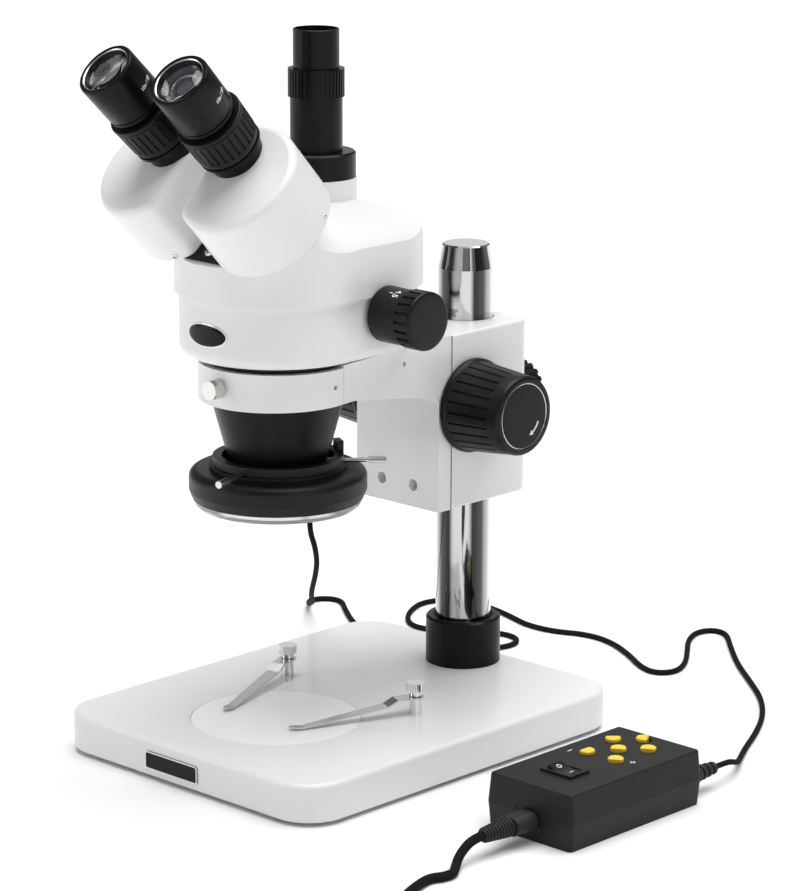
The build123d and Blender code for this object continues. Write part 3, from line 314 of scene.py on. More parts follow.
def lathe_parts(profile, origin, direction, steps=64, ribs=0, rib_depth=0.0, rib_share=0.5, ribbed=None):
    """Points and faces of a turned form. profile holds (radius, distance along direction).
    ribbed is the range of profile rows whose outside is cut by axial grooves."""
    first, second = axes_of(direction)
    direction = direction.normalized()
    verts, faces, rows = [], [], []
    for number, (radius, along) in enumerate(profile):
        row = []
        for step in range(steps):
            angle = 2 * math.pi * step / steps
            cut = 0.0
            if ribs and ribbed[0] <= number <= ribbed[1]:
                phase = (step * ribs / steps) % 1.0
                cut = rib_depth if phase > rib_share else 0.0
            r = max(0.0, radius - cut)
            row.append(len(verts))
            outward = first * math.cos(angle) + second * math.sin(angle)
            verts.append(origin + direction * along + outward * r)
        rows.append(row)
    for one, two in zip(rows, rows[1:]):
        for step in range(steps):
            after = (step + 1) % steps
            faces.append((one[step], one[after], two[after], two[step]))
    return verts, faces, rows


def scaled(profile):
    """Pairs of millimetres as pairs of metres."""
    return [(a * MM, b * MM) for a, b in profile]


def join_ends(faces, rows):
    """Faces between the last row of a turned form and its first."""
    steps = len(rows[0])
    for k in range(steps):
        after = (k + 1) % steps
        faces.append((rows[-1][k], rows[-1][after], rows[0][after], rows[0][k]))


def add_form(verts, faces, more_verts, more_faces):
    """Adds one form to the points and faces of a larger one."""
    base = len(verts)
    verts += more_verts
    faces += [tuple(base + n for n in face) for face in more_faces]


def lathe(name, profile, origin, direction, material, body, slot=None, **more):
    """Turned piece with a flat face at both ends of its profile."""
    verts, faces, rows = lathe_parts(profile, origin, direction, **more)
    faces.append(tuple(rows[0]))
    faces.append(tuple(rows[-1]))
    return new_piece(name, verts, faces, material, body)


def turned_loop(profiles, steps, **more):
    """Points and faces of several closed turned forms. profiles holds (profile in mm, origin, direction)."""
    verts, faces = [], []
    for profile, origin, direction in profiles:
        more_verts, more_faces, rows = lathe_parts(scaled(profile), origin, direction, steps=steps, **more)
        join_ends(more_faces, rows)
        add_form(verts, faces, more_verts, more_faces)
    return verts, faces


def slab(name, outline, origin, across, upward, thickness, material, body):
    """Flat piece with this outline in the plane of across and upward, standing proud along their normal."""
    across, upward = across.normalized(), upward.normalized()
    normal = across.cross(upward)
    count = len(outline)
    verts = [origin + across * x + upward * y for x, y in outline]
    verts += [origin + across * x + upward * y + normal * thickness for x, y in outline]
    faces = [tuple(range(count)), tuple(range(count, 2 * count))]
    for k in range(count):
        after = (k + 1) % count
        faces.append((k, after, count + after, count + k))
    return new_piece(name, verts, faces, material, body)


def soften(piece, width, segments=3, angle=35):
    """Bevel modifier that rounds the edges sharper than this angle."""
    mod = piece.modifiers.new("soft_edges", "BEVEL")
    mod.width = width
    mod.segments = segments
    mod.limit_method = "ANGLE"
    mod.angle_limit = math.radians(angle)
    mod.harden_normals = False


def rounded_outline(width, height, radius, arc_steps=6):
    """Rectangle with rounded corners as a list of points."""
    points = []
    for quarter, (sx, sy) in enumerate(((1, 1), (-1, 1), (-1, -1), (1, -1))):
        cx, cy = sx * (width / 2 - radius), sy * (height / 2 - radius)
        for k in range(arc_steps + 1):
            angle = math.pi / 2 * (quarter + k / arc_steps)
            points.append((cx + radius * math.cos(angle), cy + radius * math.sin(angle)))
    return points


def frame_strip(name, outer, inner, origin, across, upward, thickness, material, body):
    """Thin rim between two outlines with the same number of points."""
    across, upward = across.normalized(), upward.normalized()
    normal = across.cross(upward)
    count = len(outer)
    verts = []
    for height in (0.0, thickness):
        for outline in (outer, inner):
            verts += [origin + across * x + upward * y + normal * height for x, y in outline]
    faces = []
    for k in range(count):
        after = (k + 1) % count
        faces.append((k, after, count + after, count + k))
        faces.append((2 * count + k, 2 * count + after, 3 * count + after, 3 * count + k))
        faces.append((k, after, 2 * count + after, 2 * count + k))
        faces.append((count + k, count + after, 3 * count + after, 3 * count + k))
    return new_piece(name, verts, faces, material, body)


# ---------------------------------------------------------------- cords
def spline_piece(name, points, diameter, material):
    """Smooth round cord: one spline with the route's points as its control points."""
    curve = bpy.data.curves.new(name, "CURVE")
    curve.dimensions = "3D"
    spline = curve.splines.new("NURBS")
    spline.points.add(len(points) - 1)
    for point, place in zip(spline.points, points):
        point.co = (*place, 1)
    spline.order_u = 3
    spline.use_endpoint_u = True
    spline.resolution_u = 8
    curve.resolution_u = 8
    curve.bevel_depth = diameter / 2
    curve.bevel_resolution = 5
    curve.use_fill_caps = True
    piece = bpy.data.objects.new(name, curve)
    bpy.context.scene.collection.objects.link(piece)
    coat_with(piece, material)
    return piece


def centreline(points):
    """Points along the smooth spline through a route's control points."""
    probe = spline_piece("probe", points, 0.0, CABLE)
    probe.data.bevel_depth = 0.0
    probe.data.use_fill_caps = False
    bpy.context.view_layer.update()
    mesh = bpy.data.meshes.new_from_object(probe.evaluated_get(bpy.context.evaluated_depsgraph_get()))
    line = [v.co.copy() for v in mesh.vertices]
    bpy.data.objects.remove(probe)
    return line


def tube_mesh(name, line, diameter, material, sides=14):
    """Round tube along a line of points, with its rings turned as little as possible."""
    verts, faces = [], []
    side = None
    for k, here in enumerate(line):
        ahead = line[min(k + 1, len(line) - 1)] - line[max(k - 1, 0)]
        direction = ahead.normalized()
        side = axes_of(direction, side)[0]
        other = direction.cross(side)
        for s in range(sides):
            angle = 2 * math.pi * s / sides
            verts.append(here + (side * math.cos(angle) + other * math.sin(angle)) * diameter / 2)
    for k in range(len(line) - 1):
        for s in range(sides):
            after = (s + 1) % sides
            a, b = k * sides, (k + 1) * sides
            faces.append((a + s, a + after, b + after, b + s))
    faces.append(tuple(range(sides)))
    faces.append(tuple(range((len(line) - 1) * sides, len(line) * sides)))
    return new_piece(name, verts, faces, material, None)


# Diameters of the two cables, and the heights of their centrelines where they lie on the table.
led_d = 3.2 * MM
lead_d = 5.0 * MM
led_rest = led_d / 2 + 0.05 * MM
lead_rest = lead_d / 2 + 0.05 * MM
lead_flat = 2.55


def metres(points):
    """Route points in millimetres as vectors in metres."""
    return [Vector(p) * MM for p in points]


def level_run(height, *places):
    """Route points that are all at one height, in millimetres."""
    return [(x, y, height) for x, y in places]


rest_mm = led_rest / MM
gland_angle = math.radians(121)
gland_dir = Vector((math.cos(gland_angle), math.sin(gland_angle), 0))
ring_light_centre = Vector((0, -49, 159))
housing_radius, gland_length = 48.6, 13.6
led_exit = ring_light_centre + gland_dir * (housing_radius + gland_length)
led_drop_route = metres([
    led_exit, led_exit + gland_dir * 9,
    (-42.5, 18.5, 150), (-44.5, 20.5, 138), (-45.5, 20.5, 123), (-49, 24, 106), (-57, 36, 93.5),
    (-70, 51, 78), (-88, 67, 61.5), (-110, 86, 45), (-134, 110, 29.5), (-158, 135, 18), (-177, 152, 9.5),
    (-189, 162, 4.5), (-199, 172.5, 2.1),
    *level_run(rest_mm, (-199.5, 181), (-192.5, 187.5), (-183.5, 187), (-172, 177.5), (-160.6, 169.1)),
])
led_table_route = metres([
    *level_run(rest_mm, (-160.6, 169.1), (-149.2, 160.7), (-128, 150), (-103, 146), (-80, 150),
               (-62, 161), (-49, 176), (-43, 192), (-48, 204), (-61, 208), (-78, 199), (-98, 183),
               (-113, 179), (-127, 187), (-139, 203), (-146, 221), (-140, 236), (-125, 243), (-106, 243),
               (-86, 238), (-66, 231), (-45, 232), (-25, 242), (-4, 240), (20, 228), (41, 214),
               (55, 210.5), (62.5, 221), (56, 238), (42, 257), (27, 276), (20, 293), (25, 304), (36, 303),
               (52, 286), (78, 260), (105, 238), (130, 217), (151, 192), (167, 165), (179, 140)),
    (190, 121, 2.6), (198.5, 108, 5.5), (203.4, 95, 10.5), (204, 88.65, 11), (204, 80.65, 11),
])


def table_cord():
    """The ring light's cable from where it lands on the table to the controller."""
    piece = spline_piece("led_cable_on_table", led_table_route, led_d, CABLE)
    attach(piece, "stand")
    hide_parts("led_cord_table")
    line = centreline(led_table_route)


# The hanging part crosses four joints, so it is four tubes end to end.
# Each row: the height where the tube ends, its two bodies, and the heights between which it turns from
# the first body to the second.
drop_spans = (
    (0.1400, "head", "carriage", 0.150, 0.141),
    (0.1100, "carriage", "block", 0.139, 0.111),
    (0.0885, "block", "bush", 0.109, 0.0895),
    (0.0, "bush", "stand", 0.087, 0.056),
)


def hanging_cord():
    """The ring light's cable from its gland down to the table."""
    line = centreline(led_drop_route)
    start = 0
    for number, (end_height, upper, lower, top, bottom) in enumerate(drop_spans):
        end = next((k for k in range(start + 1, len(line)) if line[k].z < end_height), len(line) - 1)
        part = line[start:end + 1]
        piece = tube_mesh("led_cable_drop_%d" % (number + 1), part, led_d, CABLE)
        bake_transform(piece)
        if number == 0:
            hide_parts("led_cord_drop")
        start = end


coil_centre = middle("mains_coil")
coil_low, coil_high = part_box("mains_coil")
coil_out = (coil_high.x - coil_low.x) / 2
coil_radii = [coil_out - inset * MM for inset in (3.2, 8.2, 13.2)]
coil_layers = [lead_rest + lift * MM for lift in (0, 4.6, 8.9)]
points_per_turn = 16
step_from = 0.6


def coil_on_table(turn, radius, height):
    """A point of the stored coil at this angle."""
    return Vector((coil_centre.x + radius * math.cos(turn), coil_centre.y + radius * math.sin(turn), height))


def coil_points(angle):
    """Turns of the stored lead: inwards on the table, outwards on top of them, then one turn on those."""
    points = []
    steps = []
    for layer, height in enumerate(coil_layers):
        order = coil_radii if layer % 2 == 0 else coil_radii[::-1]
        turns = order if layer < 2 else order[:1]
        steps += [(radius, height) for radius in turns]
    for number, (radius, height) in enumerate(steps):
        after = steps[min(number + 1, len(steps) - 1)]
        for k in range(points_per_turn):
            share = k / points_per_turn
            ease = max(0.0, (share - step_from) / (1 - step_from))
            r = radius + (after[0] - radius) * ease
            z = height + (after[1] - height) * ease
            points.append(coil_on_table(angle + 2 * math.pi * share, r, z))
    return points, steps[-1]


plug_low, plug_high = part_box("wall_plug")


def mains_cord():
    """The mains lead from its connector to the stored coil and the plug."""
    route = metres([
        (187.5, -88, 12), (187.5, -96, 12), (188.2, -106, 6.5),
        *level_run(lead_flat, (192.0, -113), (196.5, -119), (196.0, -126), (192.5, -132), (194, -141),
                   (199, -156), (207, -170), (213.5, -181)),
    ])
    entry = math.radians(165)
    turns, (last_radius, last_height) = coil_points(entry)
    last_sweep = math.radians(270 - 165)
    leave = [coil_on_table(entry + last_sweep * k / 5, last_radius, last_height) for k in range(5)]
    plug_back = Vector(((plug_low.x + plug_high.x) / 2, plug_low.y, 8 * MM))
    tail = [coil_centre.xy.to_3d() + Vector((4 * MM, -last_radius, last_height)),
            coil_centre.xy.to_3d() + Vector((20 * MM, -last_radius - 1 * MM, last_height - 1 * MM)),
            plug_back + Vector((-14 * MM, -10 * MM, 1.5 * MM)), plug_back + Vector((-3 * MM, -12 * MM, 0)),
            plug_back + Vector((0, -7 * MM, 0)), plug_back]
    points = route + turns + leave + tail
    piece = spline_piece("mains_lead_cable", points, lead_d, CABLE)
    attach(piece, "stand")
    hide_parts("mains_lead", "mains_coil")
    line = centreline(points)


table_cord()
hanging_cord()
mains_cord()


# ---------------------------------------------------------------- eyepieces
def tube_frame(side):
    """Centre of one eye tube's rim and its axis towards the eye; side is 1 on the right."""
    centre = Vector((side * rim_centre.x, rim_centre.y, rim_centre.z))
    axis = Vector((side * eye_axis.x, eye_axis.y, eye_axis.z))
    return centre, axis


def wrapped_marking(name, text, size, axis_point, axis, toward, radius, body):
    """Signs bent round a cylinder."""
    curve = bpy.data.curves.new(name, "FONT")
    curve.body = text
    curve.size = size
    curve.align_x = "CENTER"
    curve.align_y = "CENTER"
    curve.extrude = 0.04 * MM
    curve.offset = size * 0.015
    letter = bpy.data.objects.new(name + "_text", curve)
    bpy.context.scene.collection.objects.link(letter)
    bpy.context.view_layer.update()
    mesh = bpy.data.meshes.new_from_object(letter.evaluated_get(bpy.context.evaluated_depsgraph_get()))
    bpy.data.objects.remove(letter)
    axis = axis.normalized()
    toward = (toward - axis * toward.dot(axis)).normalized()
    sideways = axis.cross(toward)
    for vertex in mesh.vertices:
        round_it, up_it, depth = vertex.co
        angle = round_it / radius
        out = toward * math.cos(angle) + sideways * math.sin(angle)
        vertex.co = axis_point + axis * up_it + out * (radius + depth)
    piece = bpy.data.objects.new(name, mesh)
    bpy.context.scene.collection.objects.link(piece)
    coat_with(piece, MARKING)
    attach(piece, body)
    return piece


eyepiece_profile = [(11.7, 3.6), (12.9, 2.0), (13.3, 0.9), (13.9, 0.35), (15.0, 0.05), (15.7, 0.12),
                    (16.2, 0.6), (16.4, 1.5), (16.4, 25.2), (16.1, 25.8), (15.6, 26.0), (15.6, 26.5),
                    (16.2, 26.8), (16.2, 28.6), (15.9, 29.0), (14.1, 29.2), (14.1, 50.8), (11.8, 50.8),
                    (11.8, 7.5), (12.8, 5.0)]
lens_profile = [(0.0, 0.55), (3.0, 0.68), (6.0, 1.05), (9.0, 1.75), (11.0, 2.5), (12.4, 3.3), (12.6, 3.8),
                (12.0, 4.4), (0.0, 4.6)]
inner_lens_profile = [(0.0, 6.4), (3.0, 6.6), (6.0, 7.3), (8.5, 8.6), (10.2, 10.2), (10.3, 11.0),
                      (0.0, 11.2)]
inner_ring_profile = [(12.3, 5.0), (11.7, 8.0), (10.4, 9.6), (10.35, 10.6), (11.75, 10.8), (12.3, 8.2)]
diopter_profile = [(15.5, 31.0), (17.9, 31.0), (18.4, 31.4), (18.5, 32.0), (18.4, 32.7), (17.9, 33.0),
                   (17.9, 33.4), (18.3, 33.7), (18.35, 34.6), (18.35, 34.7), (17.95, 48.4), (17.95, 48.5),
                   (17.85, 49.6), (17.5, 51.4), (17.1, 52.5), (15.5, 52.6)]


def eyepiece(side, suffix, coating):
    """Turned eyepiece with a rounded rim, a bright edge and a domed coated lens."""
    centre, axis = tube_frame(side)
    body = "eyepiece_" + suffix
    verts, faces = turned_loop([(eyepiece_profile, centre, -axis)], ROUND_STEPS)
    shell = new_piece("eyepiece_shell_" + suffix, verts, faces, ANODISED, body)
    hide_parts("eyepiece_" + suffix)
    lathe("eye_lens_" + suffix, scaled(lens_profile), centre, -axis, EYE_GLASS, body, steps=ROUND_STEPS,
          slot="glass")
    lathe("inner_lens_" + suffix, scaled(inner_lens_profile), centre, -axis, coating, body,
          steps=ROUND_STEPS)
    verts, faces = turned_loop([(inner_ring_profile, centre, -axis)], ROUND_STEPS)
    new_piece("inner_lens_ring_" + suffix, verts, faces, STEEL, body)
    rib_count = 28
    verts, faces = turned_loop([(diopter_profile, centre, -axis)], rib_count * 10, ribs=rib_count,
                               rib_depth=0.75 * MM, rib_share=0.72, ribbed=(9, 10))
    ring = new_piece("diopter_grip_" + suffix, verts, faces, KNOB, "diopter_" + suffix)
    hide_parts("diopter_ring_" + suffix)
    edge = [(13.35, 0.75), (13.6, 0.45), (13.9, 0.30), (13.75, 0.55), (13.45, 0.9)]
    verts, faces = turned_loop([(edge, centre, -axis)], ROUND_STEPS)
    new_piece("eyepiece_bright_edge_" + suffix, verts, faces, STEEL, body)
    # Painted shade: a dark disc deep in the tube stands in for the shade inside the eyepiece.
    disc = [(0.0, 44.0), (11.7, 44.0), (11.7, 44.6), (0.0, 44.6)]
    lathe("eyepiece_inner_disc_" + suffix, scaled(disc), centre, -axis, PAINTED_SHADE, body)
    text_at = centre - axis * 15.5 * MM
    toward = Vector((0.74, -0.28, 0.61))
    barrel_radius, letter_size = 16.42 * MM, 3.1 * MM
    wrapped_marking("eyepiece_power_" + suffix, "10x / 20", letter_size, text_at, axis, toward,
                    barrel_radius, body)


eyepiece(1, "right", LENS)
eyepiece(-1, "left", LENS_WARM)


# ---------------------------------------------------------------- prism boxes' small screws
def pan_screw(name, place, direction, radius, height, material, body):
    """Domed screw head with a cross of painted shade on its top where its recess would be."""
    profile = [(0.0, height), (radius * 0.35, height), (radius * 0.75, height * 0.86),
               (radius * 0.97, height * 0.5), (radius, 0.0), (0.0, 0.0)]
    lathe(name, profile, place, direction, material, body, steps=40)
    outward = direction.normalized()
    first, second = axes_of(direction)
    top = place + outward * (height * 0.99)
    # Painted shade: two flat dark bars just above the dome stand in for the shade in the cross recess.
    verts, faces = [], []
    for a, b in ((first, second), (second, first)):
        start = len(verts)
        for sx, sy in ((-1, -1), (1, -1), (1, 1), (-1, 1)):
            verts.append(top + a * sx * radius * 0.55 + b * sy * radius * 0.11 + outward * 0.04 * MM)
        faces.append((start, start + 1, start + 2, start + 3))
    new_piece(name + "_recess_painted_shade", verts, faces, PAINTED_SHADE, body, smooth=False)


def box_screws():
    """One small screw near the foot of each prism box."""
    box_radius = 34.4
    for side, suffix, down, turn, radius in ((1, "right", 99.0, 12.0, 1.1), (-1, "left", 99.6, 246.0, 1.9)):
        centre, axis = tube_frame(side)
        across = Vector((side * 0.99607, 0.08854, 0.0))
        upward = Vector((side * -0.0628, 0.70647, 0.70493))
        angle = math.radians(turn)
        reach = across * math.cos(angle) + upward * math.sin(angle)
        place = centre - axis * down * MM + (across * 7 + upward * -13 + reach * box_radius) * MM
        pan_screw("box_screw_" + suffix, place, reach, radius * MM, 0.9 * MM, NICKEL, "eye_" + suffix)


box_screws()


# ---------------------------------------------------------------- head: badge, plate between the boxes
def round_barrel(angle, radius, height):
    """A point at this angle round the barrel, from its front."""
    return Vector((barrel.x + math.sin(angle) * radius, barrel.y - math.cos(angle) * radius, height))


def curved_badge(name, half_width, half_height, centre_height, radius, thickness, material, body):
    """Oval plate bent round the barrel's axis."""
    steps, rings = 56, 7
    verts, faces = [], []
    for layer in (0.0, thickness):
        verts.append(round_barrel(0.0, radius + layer, centre_height))
        for ring in range(1, rings + 1):
            share = ring / rings
            dome = layer * (1 - 0.35 * share ** 6)
            for k in range(steps):
                t = 2 * math.pi * k / steps
                angle = half_width * share * math.cos(t) / radius
                height = centre_height + half_height * share * math.sin(t)
                verts.append(round_barrel(angle, radius + dome, height))
    size = 1 + rings * steps
    for layer in (0, 1):
        start = layer * size
        for k in range(steps):
            after = (k + 1) % steps
            faces.append((start, start + 1 + k, start + 1 + after))
            for ring in range(rings - 1):
                a, b = start + 1 + ring * steps, start + 1 + (ring + 1) * steps
                faces.append((a + k, b + k, b + after, a + after))
    for k in range(steps):
        after = (k + 1) % steps
        a = 1 + (rings - 1) * steps
        faces.append((a + k, a + after, size + a + after, size + a + k))
    return new_piece(name, verts, faces, material, body)


def head_details():
    """Oval badge on a bright rim, and the black plate between the prism boxes with its screw."""
    level, front = 247.5 * MM, 52.9 * MM
    curved_badge("front_badge_rim", 14.6 * MM, 6.5 * MM, level, front, 0.75 * MM, NICKEL, "head")
    curved_badge("front_badge", 13.9 * MM, 5.8 * MM, level, front, 1.05 * MM, GLOSS_BLACK, "head")
    slope, square = Vector((0, 0.712, 0.702)), Vector((0, -0.702, 0.712))
    foot = Vector((0, -103.0, 286.8)) * MM
    plate = [(-19.6, 0.2), (0, -0.4), (19.6, 0.2), (12.5, 11), (6, 21), (0, 23), (-6, 21), (-12.5, 11)]
    verts, count = [], len(plate)
    for lift in (0.0, 0.55):
        for x, y in plate:
            sag = -abs(x) * 0.088 * 0.7 + 1.1
            verts.append(foot + Vector((x * MM, 0, 0)) + slope * y * MM + square * (sag + lift) * MM)
    faces = [tuple(range(count)), tuple(range(count, 2 * count))]
    faces += [(k, (k + 1) % count, count + (k + 1) % count, count + k) for k in range(count)]
    new_piece("plate_between_boxes", verts, faces, ANODISED, "head", smooth=False)
    pan_screw("plate_screw", Vector((0.8, -98.6, 291.0)) * MM, square, 2.9 * MM, 2.6 * MM, NICKEL, "head")


head_details()


# ---------------------------------------------------------------- zoom knobs: grips, caps and numbers
zoom_profile = [(3.05, 0.0), (14.7, 0.0), (15.2, 0.6), (15.2, 19.4), (15.9, 19.9), (15.9, 20.4),
                (15.9, 20.5), (15.9, 29.2), (15.9, 29.3), (15.75, 30.1), (15.1, 30.7), (14.2, 30.85),
                (10.0, 30.95), (5.0, 31.05), (3.05, 31.08)]
zoom_foot = 55.5 * MM
zoom_ends = [(Vector((side * zoom_foot, zoom_axis.y, zoom_axis.z)), Vector((side, 0, 0)))
             for side in (1, -1)]
zoom_ribs = 20
zoom_verts, zoom_faces = turned_loop([(zoom_profile, place, axis) for place, axis in zoom_ends],
                                     zoom_ribs * 12, ribs=zoom_ribs, rib_depth=0.95 * MM, rib_share=0.74,
                                     ribbed=(6, 7))
zoom_grips = new_piece("zoom_grips", zoom_verts, zoom_faces, KNOB, "zoom")
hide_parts("zoom_knobs")
zoom_cap = scaled([(0.0, 31.1), (3.3, 31.08), (3.3, 30.2), (0.0, 30.2)])
for (zoom_place, zoom_out), zoom_suffix in zip(zoom_ends, ("right", "left")):
    lathe("zoom_cap_" + zoom_suffix, zoom_cap, zoom_place, zoom_out, KNOB, "zoom")


def zoom_marks(side, suffix):
    """Magnification numbers round the dial, each with a short index line."""
    axis = Vector((side, 0, 0))
    dial_r, letter_size, numbers_at = 15.2 * MM, 5.0 * MM, 69.4 * MM
    scale = ("0.7", "1", "1.5", "2", "3", "4", "4.5")
    spacing, first_angle = math.radians(33), math.radians(-172)
    verts, faces = [], []
    for k, value in enumerate(scale):
        angle = first_angle + spacing * k
        toward = Vector((0, -math.sin(angle), math.cos(angle)))
        centre = Vector((side * numbers_at, zoom_axis.y, zoom_axis.z))
        wrapped_marking("zoom_number_%s_%d" % (suffix, k), value, letter_size, centre, axis, toward, dial_r,
                        "zoom")
        half = 0.28 * MM / dial_r
        base = len(verts)
        for x in (64.4, 66.6):
            for turn in (angle - half, angle + half):
                for r in (dial_r - 0.3 * MM, dial_r + 0.05 * MM):
                    verts.append(Vector((side * x * MM, zoom_axis.y - r * math.sin(turn),
                                         zoom_axis.z + r * math.cos(turn))))
        c1, c2, c3, c4, c5, c6, c7, c8 = [base + n for n in range(8)]
        faces += [(c1, c2, c4, c3), (c5, c6, c8, c7), (c1, c2, c6, c5), (c3, c4, c8, c7), (c2, c4, c8, c6),
                  (c1, c3, c7, c5)]
    new_piece("zoom_ticks_" + suffix, verts, faces, MARKING, "zoom", smooth=False)


zoom_marks(1, "right")
zoom_marks(-1, "left")


# ---------------------------------------------------------------- focus knobs: disc, ring and arrow
knob_profile = [(5.06, 0.0), (26.2, 0.0), (26.7, 0.5), (26.7, 2.5), (26.3, 3.1), (25.5, 3.9), (25.4, 5.0),
                (25.4, 5.1), (23.0, 31.2), (23.0, 31.3), (22.85, 32.6), (22.5, 37.4), (22.2, 38.6),
                (21.5, 39.4), (20.6, 39.7), (18.9, 39.7), (18.75, 39.4), (18.7, 38.5), (5.06, 38.5)]


def knob_end(side, suffix, body):
    """Focus knob with a ribbed cone, a disc set in its end, its ring and a small turning arrow."""
    axis = Vector((side, 0, 0))
    start = Vector((side * 32.8 * MM, pinion_axis.y, pinion_axis.z))
    rib_count = 26
    verts, faces = turned_loop([(knob_profile, start, axis)], rib_count * 12, ribs=rib_count,
                               rib_depth=0.85 * MM, rib_share=0.80, ribbed=(7, 8))
    grip = new_piece("focus_grip_" + suffix, verts, faces, KNOB, body)
    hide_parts("focus_knob_" + suffix)
    face = Vector((side * 71.3 * MM, pinion_axis.y, pinion_axis.z))
    disc = [(0.0, 0.75), (10.0, 0.74), (16.9, 0.72), (17.7, 0.6), (17.9, 0.1), (17.9, 0.0), (0.0, 0.0)]
    lathe("focus_disc_" + suffix, scaled(disc), face, axis, GLOSS_BLACK, body, steps=ROUND_STEPS)
    rim = [(18.0, 0.0), (18.0, 0.75), (18.35, 0.95), (18.7, 0.8), (18.7, 0.0)]
    verts, faces = turned_loop([(rim, face, axis)], ROUND_STEPS)
    new_piece("focus_ring_" + suffix, verts, faces, NICKEL, body)
    top = face + axis * 0.78 * MM
    points, count = [], 14
    radius, width = 12.5, 0.55
    for r in (radius - width, radius + width):
        for k in range(count + 1):
            angle = math.radians(-22 - 34 * k / count)
            points.append((r * math.cos(angle), r * math.sin(angle)))
    lift = 0.04 * MM * side
    verts = [top + Vector((lift, x * MM, y * MM)) for x, y in points]
    faces = [(k, k + 1, count + 2 + k, count + 1 + k) for k in range(count)]
    barb, tip = math.radians(-55), math.radians(-69)
    base = len(verts)
    for r, angle in ((radius - 1.6, barb), (radius + 1.6, barb), (radius, tip)):
        verts.append(top + Vector((lift, r * math.cos(angle) * MM, r * math.sin(angle) * MM)))
    faces.append((base, base + 1, base + 2))
    new_piece("focus_arrow_" + suffix, verts, faces, MARKING, body, smooth=False)


knob_end(1, "right", "pinion")
knob_end(-1, "left", "left_knob")


# ---------------------------------------------------------------- base plate badge
def base_badge():
    """Blank dark plate with a bright rim on the front of the base."""
    place = Vector((-5.8 * MM, base_low.y, 11.4 * MM))
    outline = scaled(rounded_outline(41, 10, 1.6))
    inner = scaled(rounded_outline(39.6, 8.6, 1.2))
    slab("base_badge", outline, place, ACROSS, UP, 0.5 * MM, GLOSS_BLACK, "stand")
    frame_strip("base_badge_rim", outline, inner, place, ACROSS, UP, 0.75 * MM, NICKEL, "stand")


base_badge()


# ---------------------------------------------------------------- ring light: lamps
def lamps():
    """Two rows of small domed lamps under the ring light's cover."""
    profile = scaled([(1.5, 0.0), (1.5, 0.5), (1.25, 1.0), (0.7, 1.35), (0.0, 1.45)])
    board = 154.0 * MM
    verts, faces = [], []
    for radius, count, offset in ((36.4, 32, 0.0), (41.2, 40, 0.5)):
        for k in range(count):
            angle = 2 * math.pi * (k + offset) / count
            place = Vector((radius * MM * math.cos(angle), barrel.y + radius * MM * math.sin(angle), board))
            add_form(verts, faces, *lathe_parts(profile, place, -UP, steps=12)[:2])
    new_piece("ring_lamps", verts, faces, LED_WHITE, "head")


lamps()


# ---------------------------------------------------------------- controller
def bar_outline(width, height):
    """Rectangle of this size in millimetres round the origin."""
    x, y = width / 2 * MM, height / 2 * MM
    return [(-x, -y), (x, -y), (x, y), (-x, y)]


def controller_details():
    """Parting line of the case as a strip of painted shade, the signs of its two buttons and the marks on
    the rocker.
    """
    centre = Vector(((case_low.x + case_high.x) / 2, (case_low.y + case_high.y) / 2, 0))
    width, depth = (case_high.x - case_low.x) / MM, (case_high.y - case_low.y) / MM
    # Painted shade: a thin dark strip round the case stands in for the shade in its parting groove.
    outer = scaled(rounded_outline(width + 0.06, depth + 0.06, 3.5))
    inner = scaled(rounded_outline(width - 1.0, depth - 1.0, 3.0))
    frame_strip("case_parting_painted_shade", outer, inner, centre + UP * (case_high.z - 0.2 * MM), ACROSS, AWAY,
                0.4 * MM, PAINTED_SHADE, "stand")
    top = box_high.z + 0.02 * MM
    for name, x, y, upright in (("minus_sign", 167.0, 3.5, False), ("plus_sign", 203.5, 12.0, True)):
        bars = [(3.6, 0.7)] + ([(0.7, 3.6)] if upright else [])
        for number, (along_y, along_x) in enumerate(bars):
            slab("%s_%d" % (name, number), bar_outline(along_y, along_x), Vector((x * MM, y * MM, top)),
                 AWAY, -ACROSS, 0.05 * MM, MARKING, "stand")
    tilt = math.radians(7)
    rocker_x = Vector((math.cos(tilt), 0, -math.sin(tilt)))
    rocker_z = Vector((math.sin(tilt), 0, math.cos(tilt)))
    seat = Vector((187.4 * MM, -24.0 * MM, box_high.z - 1.5 * MM))
    angles = [2 * math.pi * k / 32 for k in range(32)]
    ring = [(1.55 * math.cos(angle) * MM, 1.55 * math.sin(angle) * MM) for angle in angles]
    hole = [(x * 0.68, y * 0.68) for x, y in ring]
    lean = math.radians(11)
    mark_reach, mark_level, proud = 4.3 * MM, 3.02 * MM, 0.12 * MM
    left_spot = seat - rocker_x * mark_reach + rocker_z * mark_level
    left_across = rocker_x * math.cos(lean) - rocker_z * math.sin(lean)
    frame_strip("rocker_ring_mark", ring, hole, left_spot, left_across, AWAY, proud, MARKING, "rocker")
    right_spot = seat + rocker_x * mark_reach + rocker_z * mark_level
    right_across = rocker_x * math.cos(lean) + rocker_z * math.sin(lean)
    slab("rocker_bar_mark", bar_outline(0.6, 3.0), right_spot, right_across, AWAY, proud, MARKING, "rocker")


